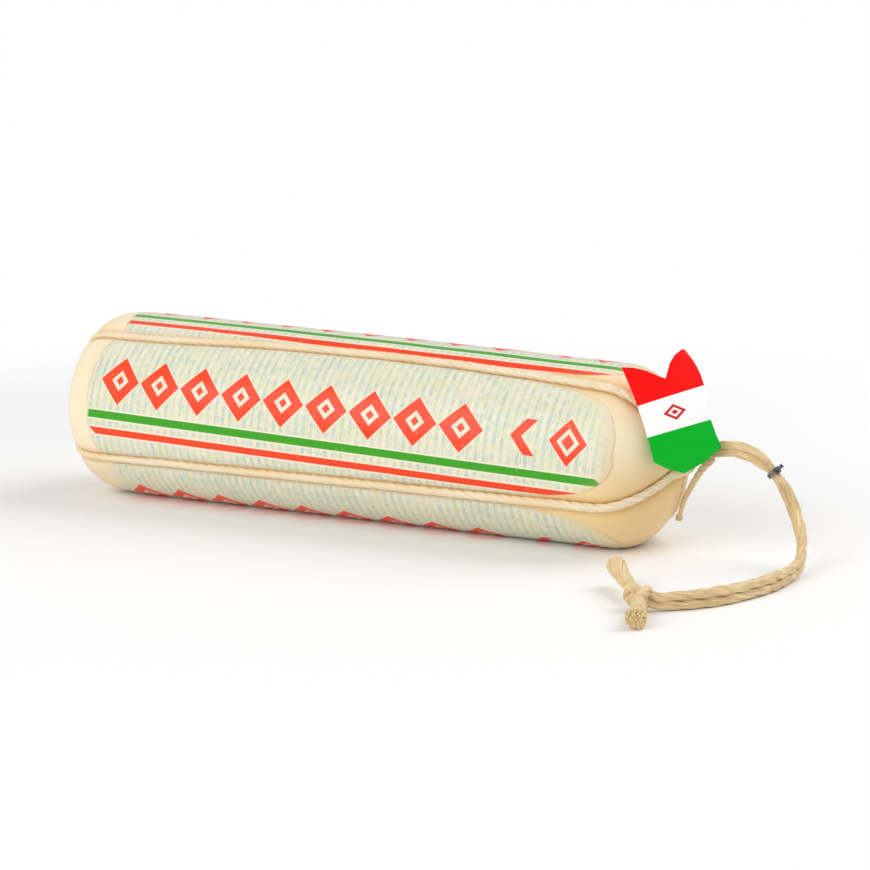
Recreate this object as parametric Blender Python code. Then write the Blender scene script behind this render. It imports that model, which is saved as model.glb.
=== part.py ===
"""Provolone salame: a waxed, slightly tapered cylinder of cheese lying on its side.

Two loops of twine run lengthwise round it and divide it into four lobes, each
wrapped in a printed film panel.  A doubled rope is hitched to the neck end,
arches down to the surface and ends in a knot with two frayed tails; a wire clip
pinches it, and a small card tag hangs in front of it.

X runs from the butt (-X) to the neck (+X), Z is up, and the origin lies under
the middle of the cheese, on the surface that it rests on.  Angles round the
cheese start at the top and turn towards -Y, the front.
"""
from math import cos, exp, pi, radians, sin

import bmesh
import bpy
from mathutils import Vector

MM = 0.001

# Body of the cheese
LENGTH = 265.0 * MM
BUTT_RADIUS = 38.2 * MM
NECK_RADIUS = 33.8 * MM
BELLY = 0.4 * MM              # how much fuller the middle is than a straight taper
BUTT_CAP = 28.5 * MM          # length of the rounded butt
NECK_CAP = 27.0 * MM          # length of the pointed neck end
BUTT_SHAPE = (4.0, 1.6)       # exponents of the cap's curve: fullness, bluntness
NECK_SHAPE = (2.6, 1.25)
SINK = 1.0 * MM               # how far the round section would dip below the surface
GAP = 0.3 * MM                # between neighbouring pieces

# Binding twine and the grooves that it has cut
TWINE_RADIUS = 1.6 * MM
GROOVE_DEPTH = 1.6 * MM
GROOVE_WIDTH = 3.0 * MM
POLE_DIMPLE = 1.2 * MM        # extra depth where the loops cross
CROSSING_SPREAD = 7.0 * MM    # how far from the pole the upper loop starts to rise
DIMPLE_POWER = 12             # how closely the extra depth keeps to the ends
# Place of each groove: degrees at the middle, tilt and bow towards the ends, and hook
# towards the butt
GROOVES = (
    (27.2, -2.5, 12.0, -40.0),    # upper front
    (116.0, -3.0, 0.0, 0.0),      # lower front
    (209.0, 1.0, 0.0, 0.0),       # lower back
    (301.0, 2.0, 4.0, 0.0),       # upper back
)
HOOK_START = 0.5              # share of the way to the butt at which a hook sets in

# Fineness of the outline
BODY_STATIONS = 8
CAP_RISES = (8, 16, 25, 35, 45, 55, 65, 75, 83)             # degrees, 0 at the pole
LOOP_RISES = (0, 4, 8, 12, 18, 25, 35, 45, 55, 65, 75, 83)
SLOPE_STEP = 0.02 * MM        # over which the outline's slope is taken
POLE_ZONE = 0.05 * MM         # radius inside which the outline faces along X

# Where the points of a section lie between two grooves, closer together near the grooves
LOBE_SHARES = (
    0.0, 0.03, 0.06, 0.1, 0.16, 0.26, 0.38, 0.5, 0.62, 0.74, 0.84, 0.9, 0.94, 0.97,
)

# Printed film panels
FILM_GAP = 0.45 * MM
FILM_THICKNESS = 0.35 * MM
FILM_MARGIN = 0.04            # share of a lobe left bare on each side of a groove
FILM_BUTT_X = -110.5 * MM
FILM_NECK_X = 116.5 * MM
FILM_BUTT_ROUNDING = 5.0 * MM
FILM_NECK_ROUNDING = 12.0 * MM
FILM_NECK_TRIM = 30.0 * MM    # how much shorter the panel is right beside the grooves
# How closely each of these keeps to the panel's sides
BUTT_ROUNDING_POWER = 3
NECK_ROUNDING_POWER = 2.5
NECK_TRIM_POWER = 10
FILM_ROWS = (0.0, 0.03, 0.15, 0.29, 0.425, 0.555, 0.68, 0.78, 0.86, 0.92, 0.95, 0.97, 0.985, 1.0)
LYING_HEIGHT = FILM_GAP + FILM_THICKNESS    # of the cheese, where the film lies under it
# One panel per lobe, with the shift of its butt and neck ends
PANELS = (
    ("film_front", 0.0, 0.0),
    ("film_under", 3.0 * MM, -3.0 * MM),
    ("film_back", -1.0 * MM, -1.0 * MM),
    ("film_top", 1.0 * MM, 0.0),
)

# Hanging rope: two twisted legs of twine lying side by side
ROPE_RADIUS = 3.1 * MM
LEG_RADIUS = 1.5 * MM
ROPE_SPACING = 8.0 * MM       # between the points of the tube
ROUTE_STEPS = 16              # fine steps between two points of a route
ROPE_ROUTE = (
    (140.6, 1.4, 38.0), (145.5, 0.8, 39.3), (150.5, 0.3, 39.7), (156.0, 0.0, 38.6),
    (161.0, 0.0, 35.9), (165.0, 0.0, 32.3), (168.6, -0.4, 28.0), (172.0, -1.5, 22.8),
    (175.2, -3.6, 17.0), (178.0, -7.2, 11.4), (179.8, -12.6, 6.6), (180.6, -20.0, 3.8),
    (180.0, -31.0, 3.3), (178.2, -42.5, 3.3), (174.8, -53.2, 3.3), (170.6, -62.8, 3.3),
    (166.0, -70.0, 3.3), (160.8, -76.0, 3.3), (156.6, -79.6, 3.3), (152.9, -82.0, 3.3),
)
LEG_ROUTE = (
    (126.8, 7.8, 11.6), (128.6, 5.2, 15.2), (130.8, 2.4, 19.6), (133.9, -0.4, 24.2),
    (136.6, -1.6, 28.7), (138.9, -2.2, 32.0), (140.8, -2.8, 33.6),
)
TAILS = {
    "rope_tail_long": ((143.5, -78.7, 5.2, 2.0), (138.8, -72.6, 5.3, 2.1),
                       (133.4, -65.4, 6.2, 2.6), (128.4, -58.6, 7.6, 3.2)),
    "rope_tail_short": ((149.2, -89.4, 4.3, 2.3), (151.4, -95.2, 3.9, 2.6),
                        (153.4, -101.0, 3.6, 3.0), (155.0, -106.6, 3.7, 3.4)),
}
# Lumps of twine: centre and half sizes
LUMPS = {
    "rope_knot": ((147.2, -83.8, 4.9), (5.2, 5.1, 4.7)),
    "rope_hitch": ((138.4, 1.8, 37.4), (1.8, 3.6, 3.6)),
    "leg_hitch": ((125.6, 10.4, 9.6), (1.5, 1.5, 1.5)),
}
CLIP_PLACE = 5                # the route's point that the clip sits on
CLIP_LENGTH = 2.4 * MM
CLIP_WALL = 0.8 * MM
CLIP_SIDES = 16

# Card tag, on its own plane: across U from its lower left corner, up V
TAG_CORNER = Vector((128.0, -23.0, 37.0)) * MM
TAG_ACROSS = Vector((0.740, 0.652, 0.165)).normalized()
TAG_UP = Vector((-0.380, 0.203, 0.902)).normalized()
TAG_WIDTH = 25.0 * MM
TAG_HEIGHT = 37.0 * MM        # to the tips of the swallow tail
TAG_NOTCH = 9.0 * MM
TAG_POINT = 6.0 * MM          # drop of the pointed lower edge
TAG_THICKNESS = 0.45 * MM
TAG_BULGE = 3.0 * MM          # how far the card bows forward in the middle
TAG_GRID = 8                  # faces each way

COLOURS = {
    "cheese": ((0.93, 0.78, 0.55), 0.35),
    "film": ((0.66, 0.72, 0.55), 0.25),
    "twine": ((0.88, 0.76, 0.55), 0.6),
    "rope": ((0.72, 0.53, 0.30), 0.85),
    "tag": ((0.90, 0.90, 0.88), 0.4),
    "clip": ((0.20, 0.20, 0.22), 0.4),
}


def clear_scene():
    for item in list(bpy.data.objects):
        bpy.data.objects.remove(item, do_unlink=True)


def material(name):
    """One Principled material for each finish."""
    if name in bpy.data.materials:
        return bpy.data.materials[name]
    colour, roughness = COLOURS[name]
    made = bpy.data.materials.new(name)
    made.use_nodes = True
    shader = made.node_tree.nodes["Principled BSDF"]
    shader.inputs["Base Color"].default_value = (*colour, 1.0)
    shader.inputs["Roughness"].default_value = roughness
    shader.inputs["Metallic"].default_value = 1.0 if name == "clip" else 0.0
    return made


def add_object(name, data, finish):
    item = bpy.data.objects.new(name, data)
    bpy.context.scene.collection.objects.link(item)
    data.materials.append(material(finish))
    return item


def finish_mesh(name, mesh_data, finish, sharp):
    """Object from a bmesh, its faces outwards and smooth up to an angle in degrees."""
    bmesh.ops.recalc_face_normals(mesh_data, faces=mesh_data.faces)
    mesh = bpy.data.meshes.new(name)
    mesh_data.to_mesh(mesh)
    mesh_data.free()
    mesh.shade_smooth()
    mesh.set_sharp_from_angle(angle=radians(sharp))
    return add_object(name, mesh, finish)


# ---- the shape of the cheese ----

def straight_radius(x):
    """Radius of the tapered body, as if it ran on through the caps."""
    along = x / LENGTH + 0.5
    belly = BELLY * (1.0 - (2.0 * x / LENGTH) ** 2)
    return BUTT_RADIUS + (NECK_RADIUS - BUTT_RADIUS) * along + belly


def axis_height(x):
    return straight_radius(x) - SINK


def cap_point(side, rise):
    """Station on a cap: rise is 0 at the pole and 90 degrees where the body starts."""
    fullness, bluntness = NECK_SHAPE if side > 0 else BUTT_SHAPE
    cap = NECK_CAP if side > 0 else BUTT_CAP
    share = sin(radians(rise))
    along = max(0.0, 1.0 - share ** bluntness) ** (1.0 / fullness)
    x = side * (LENGTH / 2 - cap + cap * along)
    return x, straight_radius(x) * share


def stations(rises):
    """Points (x, radius) of the outline from the butt's pole to the neck's pole."""
    start = -LENGTH / 2 + BUTT_CAP
    end = LENGTH / 2 - NECK_CAP
    body = [start + (end - start) * i / (BODY_STATIONS - 1) for i in range(BODY_STATIONS)]
    points = [cap_point(-1, rise) for rise in rises]
    points += [(x, straight_radius(x)) for x in body]
    points += [cap_point(1, rise) for rise in reversed(rises)]
    return points


def cap_radius(x):
    """Radius of the finished outline at a place along the cheese."""
    fullness, bluntness = NECK_SHAPE if x > 0 else BUTT_SHAPE
    cap = NECK_CAP if x > 0 else BUTT_CAP
    along = (abs(x) - (LENGTH / 2 - cap)) / cap
    if along <= 0.0:
        return straight_radius(x)
    return straight_radius(x) * max(0.0, 1.0 - min(along, 1.0) ** fullness) ** (1 / bluntness)


def outline_normal(x, radius):
    """Outward normal (along X, away from the axis) of the outline."""
    if radius < POLE_ZONE:
        return (1.0 if x > 0 else -1.0), 0.0
    low = max(x - SLOPE_STEP, -LENGTH / 2)
    high = min(x + SLOPE_STEP, LENGTH / 2)
    normal = Vector((cap_radius(low) - cap_radius(high), high - low)).normalized()
    return normal.x, normal.y


def groove_angle(index, x):
    """Degrees from the top at which a groove lies; whole turns keep the order."""
    middle, tilt, bow, hook = GROOVES[index % 4]
    along = 2.0 * x / LENGTH
    hooked = hook * max(0.0, -along - HOOK_START) ** 2
    return middle + tilt * along + bow * along ** 2 + hooked + 360.0 * (index // 4)


def groove_depth(x, radius, angle):
    nearest = min(abs((angle - groove_angle(i, x) + 180.0) % 360.0 - 180.0)
                  for i in range(len(GROOVES)))
    arc = radius * radians(nearest)
    deepest = GROOVE_DEPTH + POLE_DIMPLE * abs(2.0 * x / LENGTH) ** DIMPLE_POWER
    return deepest * exp(-(arc / GROOVE_WIDTH) ** 2)


def surface_point(x, radius, angle, out, lowest):
    """Point a given distance outside the grooved skin, not below a height."""
    normal_x, normal_r = outline_normal(x, radius)
    out -= groove_depth(x, radius, angle)
    reach = radius + normal_r * out
    turn = radians(angle)
    height = axis_height(x) + reach * cos(turn)
    return Vector((x + normal_x * out, -reach * sin(turn), max(height, lowest)))


# ---- pieces ----

def build_cheese():
    """Closed body: rings of points that follow the grooves, and a point at each pole."""
    mesh = bmesh.new()
    rings = []
    for x, radius in stations(CAP_RISES):
        ring = []
        for lobe in range(len(GROOVES)):
            start = groove_angle(lobe, x)
            width = groove_angle(lobe + 1, x) - start
            for share in LOBE_SHARES:
                point = surface_point(x, radius, start + width * share, 0.0, LYING_HEIGHT)
                ring.append(mesh.verts.new(point))
        rings.append(ring)
    for ring, after in zip(rings, rings[1:]):
        for i, vert in enumerate(ring):
            j = (i + 1) % len(ring)
            mesh.faces.new((vert, ring[j], after[j], after[i]))
    for side, ring in ((-1, rings[0]), (1, rings[-1])):
        x = side * LENGTH / 2
        pole = mesh.verts.new(surface_point(x, 0.0, 0.0, 0.0, 0.0))
        for i, vert in enumerate(ring):
            mesh.faces.new((vert, ring[(i + 1) % len(ring)], pole))
    finish_mesh("cheese", mesh, "cheese", sharp=60.0)


def close_rim(mesh, inner, outer):
    """Faces round the edge between two layers of rows of points."""
    rows, columns = len(inner) - 1, len(inner[0]) - 1
    rim = [(0, j) for j in range(columns)] + [(i, columns) for i in range(rows)]
    rim += [(rows, j) for j in range(columns, 0, -1)] + [(i, 0) for i in range(rows, 0, -1)]
    for (i, j), (k, m) in zip(rim, rim[1:] + rim[:1]):
        mesh.faces.new((inner[i][j], inner[k][m], outer[k][m], outer[i][j]))


def film_point(lobe, across, along, out, lowest):
    """Point of a film panel: across runs between two grooves, along from butt to neck."""
    bulge = abs(2.0 * across - 1.0) / (1.0 - 2.0 * FILM_MARGIN)
    start = FILM_BUTT_X + PANELS[lobe][1] + FILM_BUTT_ROUNDING * bulge ** BUTT_ROUNDING_POWER
    end = FILM_NECK_X + PANELS[lobe][2] - FILM_NECK_ROUNDING * bulge ** NECK_ROUNDING_POWER
    end -= FILM_NECK_TRIM * bulge ** NECK_TRIM_POWER
    x = start + (end - start) * along
    low = groove_angle(lobe, x)
    high = groove_angle(lobe + 1, x)
    return surface_point(x, cap_radius(x), low + (high - low) * across, out, lowest)


def build_film(lobe):
    """Thin curved panel over one lobe, with rounded ends."""
    across = (FILM_MARGIN, *LOBE_SHARES[2:-1], 1.0 - FILM_MARGIN)
    mesh = bmesh.new()
    layers = []
    for out, lowest in ((FILM_GAP, FILM_THICKNESS), (FILM_GAP + FILM_THICKNESS, 0.0)):
        layers.append([[mesh.verts.new(film_point(lobe, u, v, out, lowest)) for u in across]
                       for v in FILM_ROWS])
    inner, outer = layers
    rows, columns = len(FILM_ROWS), len(across)
    for i in range(rows - 1):
        for j in range(columns - 1):
            for layer in layers:
                mesh.faces.new((layer[i][j], layer[i][j + 1],
                                layer[i + 1][j + 1], layer[i + 1][j]))
    close_rim(mesh, inner, outer)
    finish_mesh(PANELS[lobe][0], mesh, "film", sharp=40.0)


def tube(name, points, radius, finish, radii=None, cyclic=False):
    """Curve with a round bevel through the points; filled caps where it is open."""
    curve = bpy.data.curves.new(name, "CURVE")
    curve.dimensions = "3D"
    curve.bevel_depth = radius
    curve.bevel_resolution = 2
    curve.use_fill_caps = not cyclic
    spline = curve.splines.new("POLY")
    spline.points.add(len(points) - 1)
    spline.use_cyclic_u = cyclic
    for i, point in enumerate(points):
        spline.points[i].co = (*point, 1.0)
        spline.points[i].radius = radii[i] / radius if radii else 1.0
    return add_object(name, curve, finish)


def build_loop(name, there, back, lift):
    """Closed loop of twine in two opposite grooves; lift raises it over the other loop."""
    outline = stations(LOOP_RISES)
    points = []
    for groove, run in ((there, outline[:-1]), (back, outline[:0:-1])):
        for x, radius in run:
            over = lift * exp(-(radius / CROSSING_SPREAD) ** 4)
            angle = groove_angle(groove, x)
            points.append(surface_point(x, radius, angle, TWINE_RADIUS + GAP + over, 0.0))
    tube(name, points, TWINE_RADIUS, "twine", cyclic=True)


def smooth_route(route, spacing):
    """Evenly spaced points on a smooth curve through the route's points."""
    knots = [Vector(point) * MM for point in route]
    ends = [2 * knots[0] - knots[1]] + knots + [2 * knots[-1] - knots[-2]]
    dense = []
    for a, b, c, d in zip(ends, ends[1:], ends[2:], ends[3:]):
        for step in range(ROUTE_STEPS):
            t = step / ROUTE_STEPS
            bend = 2 * a - 5 * b + 4 * c - d
            twist = 3 * b - a - 3 * c + d
            dense.append(b + 0.5 * ((c - a) * t + bend * t ** 2 + twist * t ** 3))
    dense.append(knots[-1])
    total = sum((b - a).length for a, b in zip(dense, dense[1:]))
    count = round(total / spacing)
    points = [dense[0]]
    walked = 0.0
    for a, b in zip(dense, dense[1:]):
        walked += (b - a).length
        if walked >= total * len(points) / count and len(points) < count:
            points.append(b)
    return points + [dense[-1]]


def build_lump(name, centre, half_sizes):
    """Rounded lump of twine."""
    mesh = bmesh.new()
    bmesh.ops.create_icosphere(mesh, subdivisions=2, radius=1.0)
    bmesh.ops.scale(mesh, vec=Vector(half_sizes) * MM, verts=mesh.verts)
    bmesh.ops.translate(mesh, vec=Vector(centre) * MM, verts=mesh.verts)
    finish_mesh(name, mesh, "rope", sharp=80.0)


def build_clip():
    """Wire clip: a short ring round the rope."""
    centre = Vector(ROPE_ROUTE[CLIP_PLACE]) * MM
    before = Vector(ROPE_ROUTE[CLIP_PLACE - 1]) * MM
    after = Vector(ROPE_ROUTE[CLIP_PLACE + 1]) * MM
    turn = (after - before).to_track_quat("Z", "Y")
    inner = ROPE_RADIUS + 2 * GAP
    mesh = bmesh.new()
    corners = ((inner, -0.5), (inner + CLIP_WALL, -0.5), (inner + CLIP_WALL, 0.5), (inner, 0.5))
    profile = [mesh.verts.new((radius, 0.0, CLIP_LENGTH * share)) for radius, share in corners]
    edges = [mesh.edges.new((profile[i], profile[(i + 1) % 4])) for i in range(4)]
    bmesh.ops.spin(mesh, geom=profile + edges, cent=(0, 0, 0), axis=(0, 0, 1), angle=2 * pi,
                   steps=CLIP_SIDES, use_merge=True)
    bmesh.ops.remove_doubles(mesh, verts=mesh.verts, dist=0.01 * MM)
    for vert in mesh.verts:
        vert.co = turn @ vert.co + centre
    finish_mesh("wire_clip", mesh, "clip", sharp=40.0)


def build_tag():
    """Bowed card with a swallow-tail top and a pointed lower edge."""
    face = TAG_ACROSS.cross(TAG_UP).normalized()
    mesh = bmesh.new()
    layers = []
    for level in (-0.5, 0.5):
        layer = []
        for i in range(TAG_GRID + 1):
            line = []
            for j in range(TAG_GRID + 1):
                across = j / TAG_GRID
                dip = 1.0 - abs(2.0 * across - 1.0)
                bottom = -TAG_POINT * dip
                top = TAG_HEIGHT - TAG_NOTCH * dip
                up = bottom + (top - bottom) * i / TAG_GRID
                bow = TAG_BULGE * (1.0 - (2.0 * up / TAG_HEIGHT - 1.0) ** 2)
                place = TAG_CORNER + TAG_ACROSS * (TAG_WIDTH * across) + TAG_UP * up
                line.append(mesh.verts.new(place + face * (bow + TAG_THICKNESS * level)))
            layer.append(line)
        layers.append(layer)
    back, front = layers
    for i in range(TAG_GRID):
        for j in range(TAG_GRID):
            for layer in layers:
                mesh.faces.new((layer[i][j], layer[i][j + 1],
                                layer[i + 1][j + 1], layer[i + 1][j]))
    close_rim(mesh, back, front)
    finish_mesh("card_tag", mesh, "tag", sharp=50.0)


def build_rope():
    tube("rope_bundle", smooth_route(ROPE_ROUTE, ROPE_SPACING), ROPE_RADIUS, "rope")
    tube("rope_leg", smooth_route(LEG_ROUTE, ROPE_SPACING / 2), LEG_RADIUS, "rope")
    for name, route in TAILS.items():
        points = [Vector(point[:3]) * MM for point in route]
        tube(name, points, LEG_RADIUS, "rope", radii=[point[3] * MM for point in route])
    for name, (centre, half_sizes) in LUMPS.items():
        build_lump(name, centre, half_sizes)


def main():
    clear_scene()
    build_cheese()
    for lobe in range(len(PANELS)):
        build_film(lobe)
    build_loop("twine_loop_inner", 0, 2, 0.0)
    build_loop("twine_loop_outer", 1, 3, 2 * TWINE_RADIUS + GAP)
    build_rope()
    build_clip()
    build_tag()


main()
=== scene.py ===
"""Bound cheese: a waxed cheese with printed film, binding twine, a rope with a knot and a tag.

X runs from the butt to the neck, Z is up, and the origin lies under the middle of the
cheese.  Angles round the cheese start at the top and turn towards -Y, the front.
"""
from math import cos, exp, floor, pi, radians, sin

import bmesh
import bpy
from bpy.props import FloatProperty, FloatVectorProperty, IntProperty, PointerProperty
from bpy.types import Operator, Panel, PropertyGroup
from mathutils import Matrix, Vector, noise


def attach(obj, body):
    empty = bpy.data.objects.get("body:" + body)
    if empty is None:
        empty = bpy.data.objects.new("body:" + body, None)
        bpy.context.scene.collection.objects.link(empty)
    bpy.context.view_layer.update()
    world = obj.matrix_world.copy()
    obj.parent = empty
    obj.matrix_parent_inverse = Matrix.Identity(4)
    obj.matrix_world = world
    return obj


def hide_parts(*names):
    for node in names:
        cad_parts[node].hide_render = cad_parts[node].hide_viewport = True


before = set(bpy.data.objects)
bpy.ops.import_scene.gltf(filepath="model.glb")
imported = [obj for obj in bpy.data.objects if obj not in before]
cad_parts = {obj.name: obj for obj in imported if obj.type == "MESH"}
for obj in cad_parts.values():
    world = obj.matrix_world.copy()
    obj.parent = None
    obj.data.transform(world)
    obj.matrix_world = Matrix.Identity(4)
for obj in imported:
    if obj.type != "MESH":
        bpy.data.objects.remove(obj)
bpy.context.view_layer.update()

bl_info = {
    "name": "Bound Cheese",
    "version": (1, 0, 0),
    "blender": (4, 5, 0),
    "location": "3D View > Sidebar > Cheese",
    "description": "Builds a waxed cheese with printed film, binding twine, rope and tag",
    "category": "Add Mesh",
}

MM = 0.001

# ---- shape of the cheese, as in the CAD model ----

LENGTH = 265.0 * MM
BUTT_RADIUS = 38.2 * MM
NECK_RADIUS = 33.8 * MM
BELLY = 0.4 * MM
BUTT_CAP = 28.5 * MM
NECK_CAP = 27.0 * MM
BUTT_SHAPE = (4.0, 1.6)       # exponents of a cap's curve: fullness, bluntness
NECK_SHAPE = (2.6, 1.25)
SINK = 1.0 * MM
GAP = 0.3 * MM
TWINE_RADIUS = 1.6 * MM
GROOVE_DEPTH = 1.6 * MM
GROOVE_WIDTH = 3.0 * MM
POLE_DIMPLE = 1.2 * MM
CROSSING_SPREAD = 7.0 * MM
GROOVES = ((27.2, -2.5, 12.0, -40.0), (116.0, -3.0, 0.0, 0.0),
           (209.0, 1.0, 0.0, 0.0), (301.0, 2.0, 4.0, 0.0))
HOOK_START = 0.5

FILM_MARGIN = 0.04
FILM_BUTT_X = -110.5 * MM
FILM_NECK_X = 116.5 * MM
FILM_BUTT_ROUNDING = 5.0 * MM
FILM_NECK_ROUNDING = 12.0 * MM
FILM_NECK_TRIM = 30.0 * MM
# Panel, shifts of its butt and neck ends, and its row of figures: the angle at x = 0 and
# the degrees by which it turns in each millimetre along X
PANELS = (
    ("film_front", 0.0, 0.0, 70.0, 0.037),
    ("film_under", 3.0 * MM, -3.0 * MM, 159.0, 0.037),
    ("film_back", -1.0 * MM, -1.0 * MM, 247.0, 0.037),
    ("film_top", 1.0 * MM, 0.0, 348.6, 0.016),
)

# ---- rope, as in the CAD model ----

ROPE_ROUTE = (
    (140.6, 1.4, 38.0), (145.5, 0.8, 39.3), (150.5, 0.3, 39.7), (156.0, 0.0, 38.6),
    (161.0, 0.0, 35.9), (165.0, 0.0, 32.3), (168.6, -0.4, 28.0), (172.0, -1.5, 22.8),
    (175.2, -3.6, 17.0), (178.0, -7.2, 11.4), (179.8, -12.6, 6.6), (180.6, -20.0, 3.8),
    (180.0, -31.0, 3.3), (178.2, -42.5, 3.3), (174.8, -53.2, 3.3), (170.6, -62.8, 3.3),
    (166.0, -70.0, 3.3), (160.8, -76.0, 3.3), (156.6, -79.6, 3.3), (152.9, -82.0, 3.3),
)
# The leg's first point lies in its hitch
LEG_ROUTE = (
    (125.8, 9.9, 10.0), (126.8, 7.8, 11.6), (128.6, 5.2, 15.2), (130.8, 2.4, 19.6),
    (133.9, -0.4, 24.2), (136.6, -1.6, 28.7), (139.2, -2.2, 32.4), (142.6, -1.8, 35.9),
)
TAILS = {
    "rope_tail_long": ((143.5, -78.7, 5.2, 2.0), (138.8, -72.6, 5.3, 2.1),
                       (133.4, -65.4, 6.2, 2.6), (128.4, -58.6, 7.6, 3.2)),
    "rope_tail_short": ((149.2, -89.4, 4.3, 2.3), (151.4, -95.2, 3.9, 2.6),
                        (153.4, -101.0, 3.6, 3.0), (155.0, -106.6, 3.7, 3.4)),
}
CLIP_PLACE = 5
KNOT_HEART = (149.6, -83.2, 4.4)   # where the rope ends inside its knot

# ---- tag, as in the CAD model: across U and up V from its lower left corner ----

TAG_CORNER = Vector((128.0, -23.0, 37.0)) * MM
TAG_ACROSS = Vector((0.740, 0.652, 0.165)).normalized()
TAG_UP = Vector((-0.380, 0.203, 0.902)).normalized()
TAG_HEIGHT = 37.0 * MM
TAG_BULGE = 3.0 * MM
TAG_THICKNESS = 0.4 * MM
CARD_SPAN = 50.0              # millimetres that the card's print coordinates cover
CARD_SHIFT = (10.0, 8.0)

# The print's UV map: metres along X and round the cheese that fill the unit square
PRINT_SPAN_X = 0.3
PRINT_SPAN_ARC = 0.1
GREEN_ARC = 13.9               # middle of each stripe below the figures, in millimetres
RED_ARC = 20.5
ARC_RADIUS = 36.3 * MM        # radius that turns the print's angles into arc lengths


# ---- settings ----

def number_property(name, description, default, **options):
    return FloatProperty(name=name, description=description, default=default, min=0.0, **options)


def length_property(name, description, default):
    return number_property(name, description, default, subtype="DISTANCE", unit="LENGTH",
                           precision=5)


def colour_property(name, description, default):
    return FloatVectorProperty(name=name, description=description, default=default,
                               size=3, min=0.0, max=1.0, subtype="COLOR")


class CheeseSettings(PropertyGroup):
    unevenness: length_property("Unevenness", "Depth of the soft dents in the rind", 0.35 * MM)
    rind: colour_property("Rind", "Colour of the waxed rind", (0.93, 0.81, 0.60))
    # Crease shade: warm brown painted into the grooves beside the twine as contact shade
    crease_shade: colour_property("Crease", "Warm colour beside the twine", (0.70, 0.38, 0.10))
    # Bare end: the bare cheese's warmer colour, darkened so that it also paints shade on the lower
    # neck
    bare_end_and_shade: colour_property("Bare end", "Colour of the bare neck", (0.82, 0.57, 0.24))


class FilmSettings(PropertyGroup):
    thickness: length_property("Thickness", "Thickness of the film", 0.22 * MM)
    crinkle: length_property("Crinkle", "Height of the crinkles at the film's edges", 0.22 * MM)
    ground: colour_property("Ground", "Colour of the film over the cheese", (0.82, 0.78, 0.59))
    fine_cool: colour_property("Cool fine print", "Pale blue-green of the fine print",
                               (0.50, 0.62, 0.52))
    fine_warm: colour_property("Warm fine print", "Pale yellow-green of the fine print",
                               (0.62, 0.68, 0.42))
    halo: colour_property("Halo", "Pale edge round the stripes", (0.90, 0.84, 0.66))
    red: colour_property("Red", "Red of the figures and stripe", (0.95, 0.06, 0.012))
    green: colour_property("Green", "Green of the stripe", (0.045, 0.36, 0.008))


class TwineSettings(PropertyGroup):
    strands: IntProperty(name="Strands", description="Strands in each twine", default=3,
                         min=2, max=6)
    lay_length: length_property("Lay length", "Length of one turn of a twine's strands", 14.0 * MM)
    fibres: IntProperty(name="Loose fibres", description="Loose fibres on the rope",
                        default=520, min=0, max=3000)
    waxed: colour_property("Waxed twine", "Colour of the binding twine", (0.93, 0.79, 0.56))
    dry: colour_property("Dry twine", "Colour of the hanging rope", (0.81, 0.605, 0.31))
    dark: colour_property("Dark fibre", "Colour between the rope's fibres", (0.36, 0.21, 0.09))


class TagSettings(PropertyGroup):
    red: colour_property("Red field", "Top field of the tag", (1.0, 0.004, 0.003))
    white: colour_property("White field", "Middle field of the tag", (0.97, 0.97, 0.97))
    green: colour_property("Green field", "Lower field of the tag", (0.0, 0.46, 0.022))


class StudioSettings(PropertyGroup):
    key_power: number_property("Key light", "Power of the large light", 12.9, unit="POWER")
    fill_power: number_property("Fill light", "Power of the front light", 12.6, unit="POWER")
    ambient: number_property("Ambient", "Strength of the surrounding white", 0.54)
    floor: colour_property("Floor", "Colour of the floor", (0.94, 0.94, 0.94))


SETTINGS = (
    ("bound_cheese", CheeseSettings),
    ("bound_cheese_film", FilmSettings),
    ("bound_cheese_twine", TwineSettings),
    ("bound_cheese_tag", TagSettings),
    ("bound_cheese_studio", StudioSettings),
)


def settings(scene, name):
    return getattr(scene, name)


# ---- wiring of node trees ----

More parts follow.
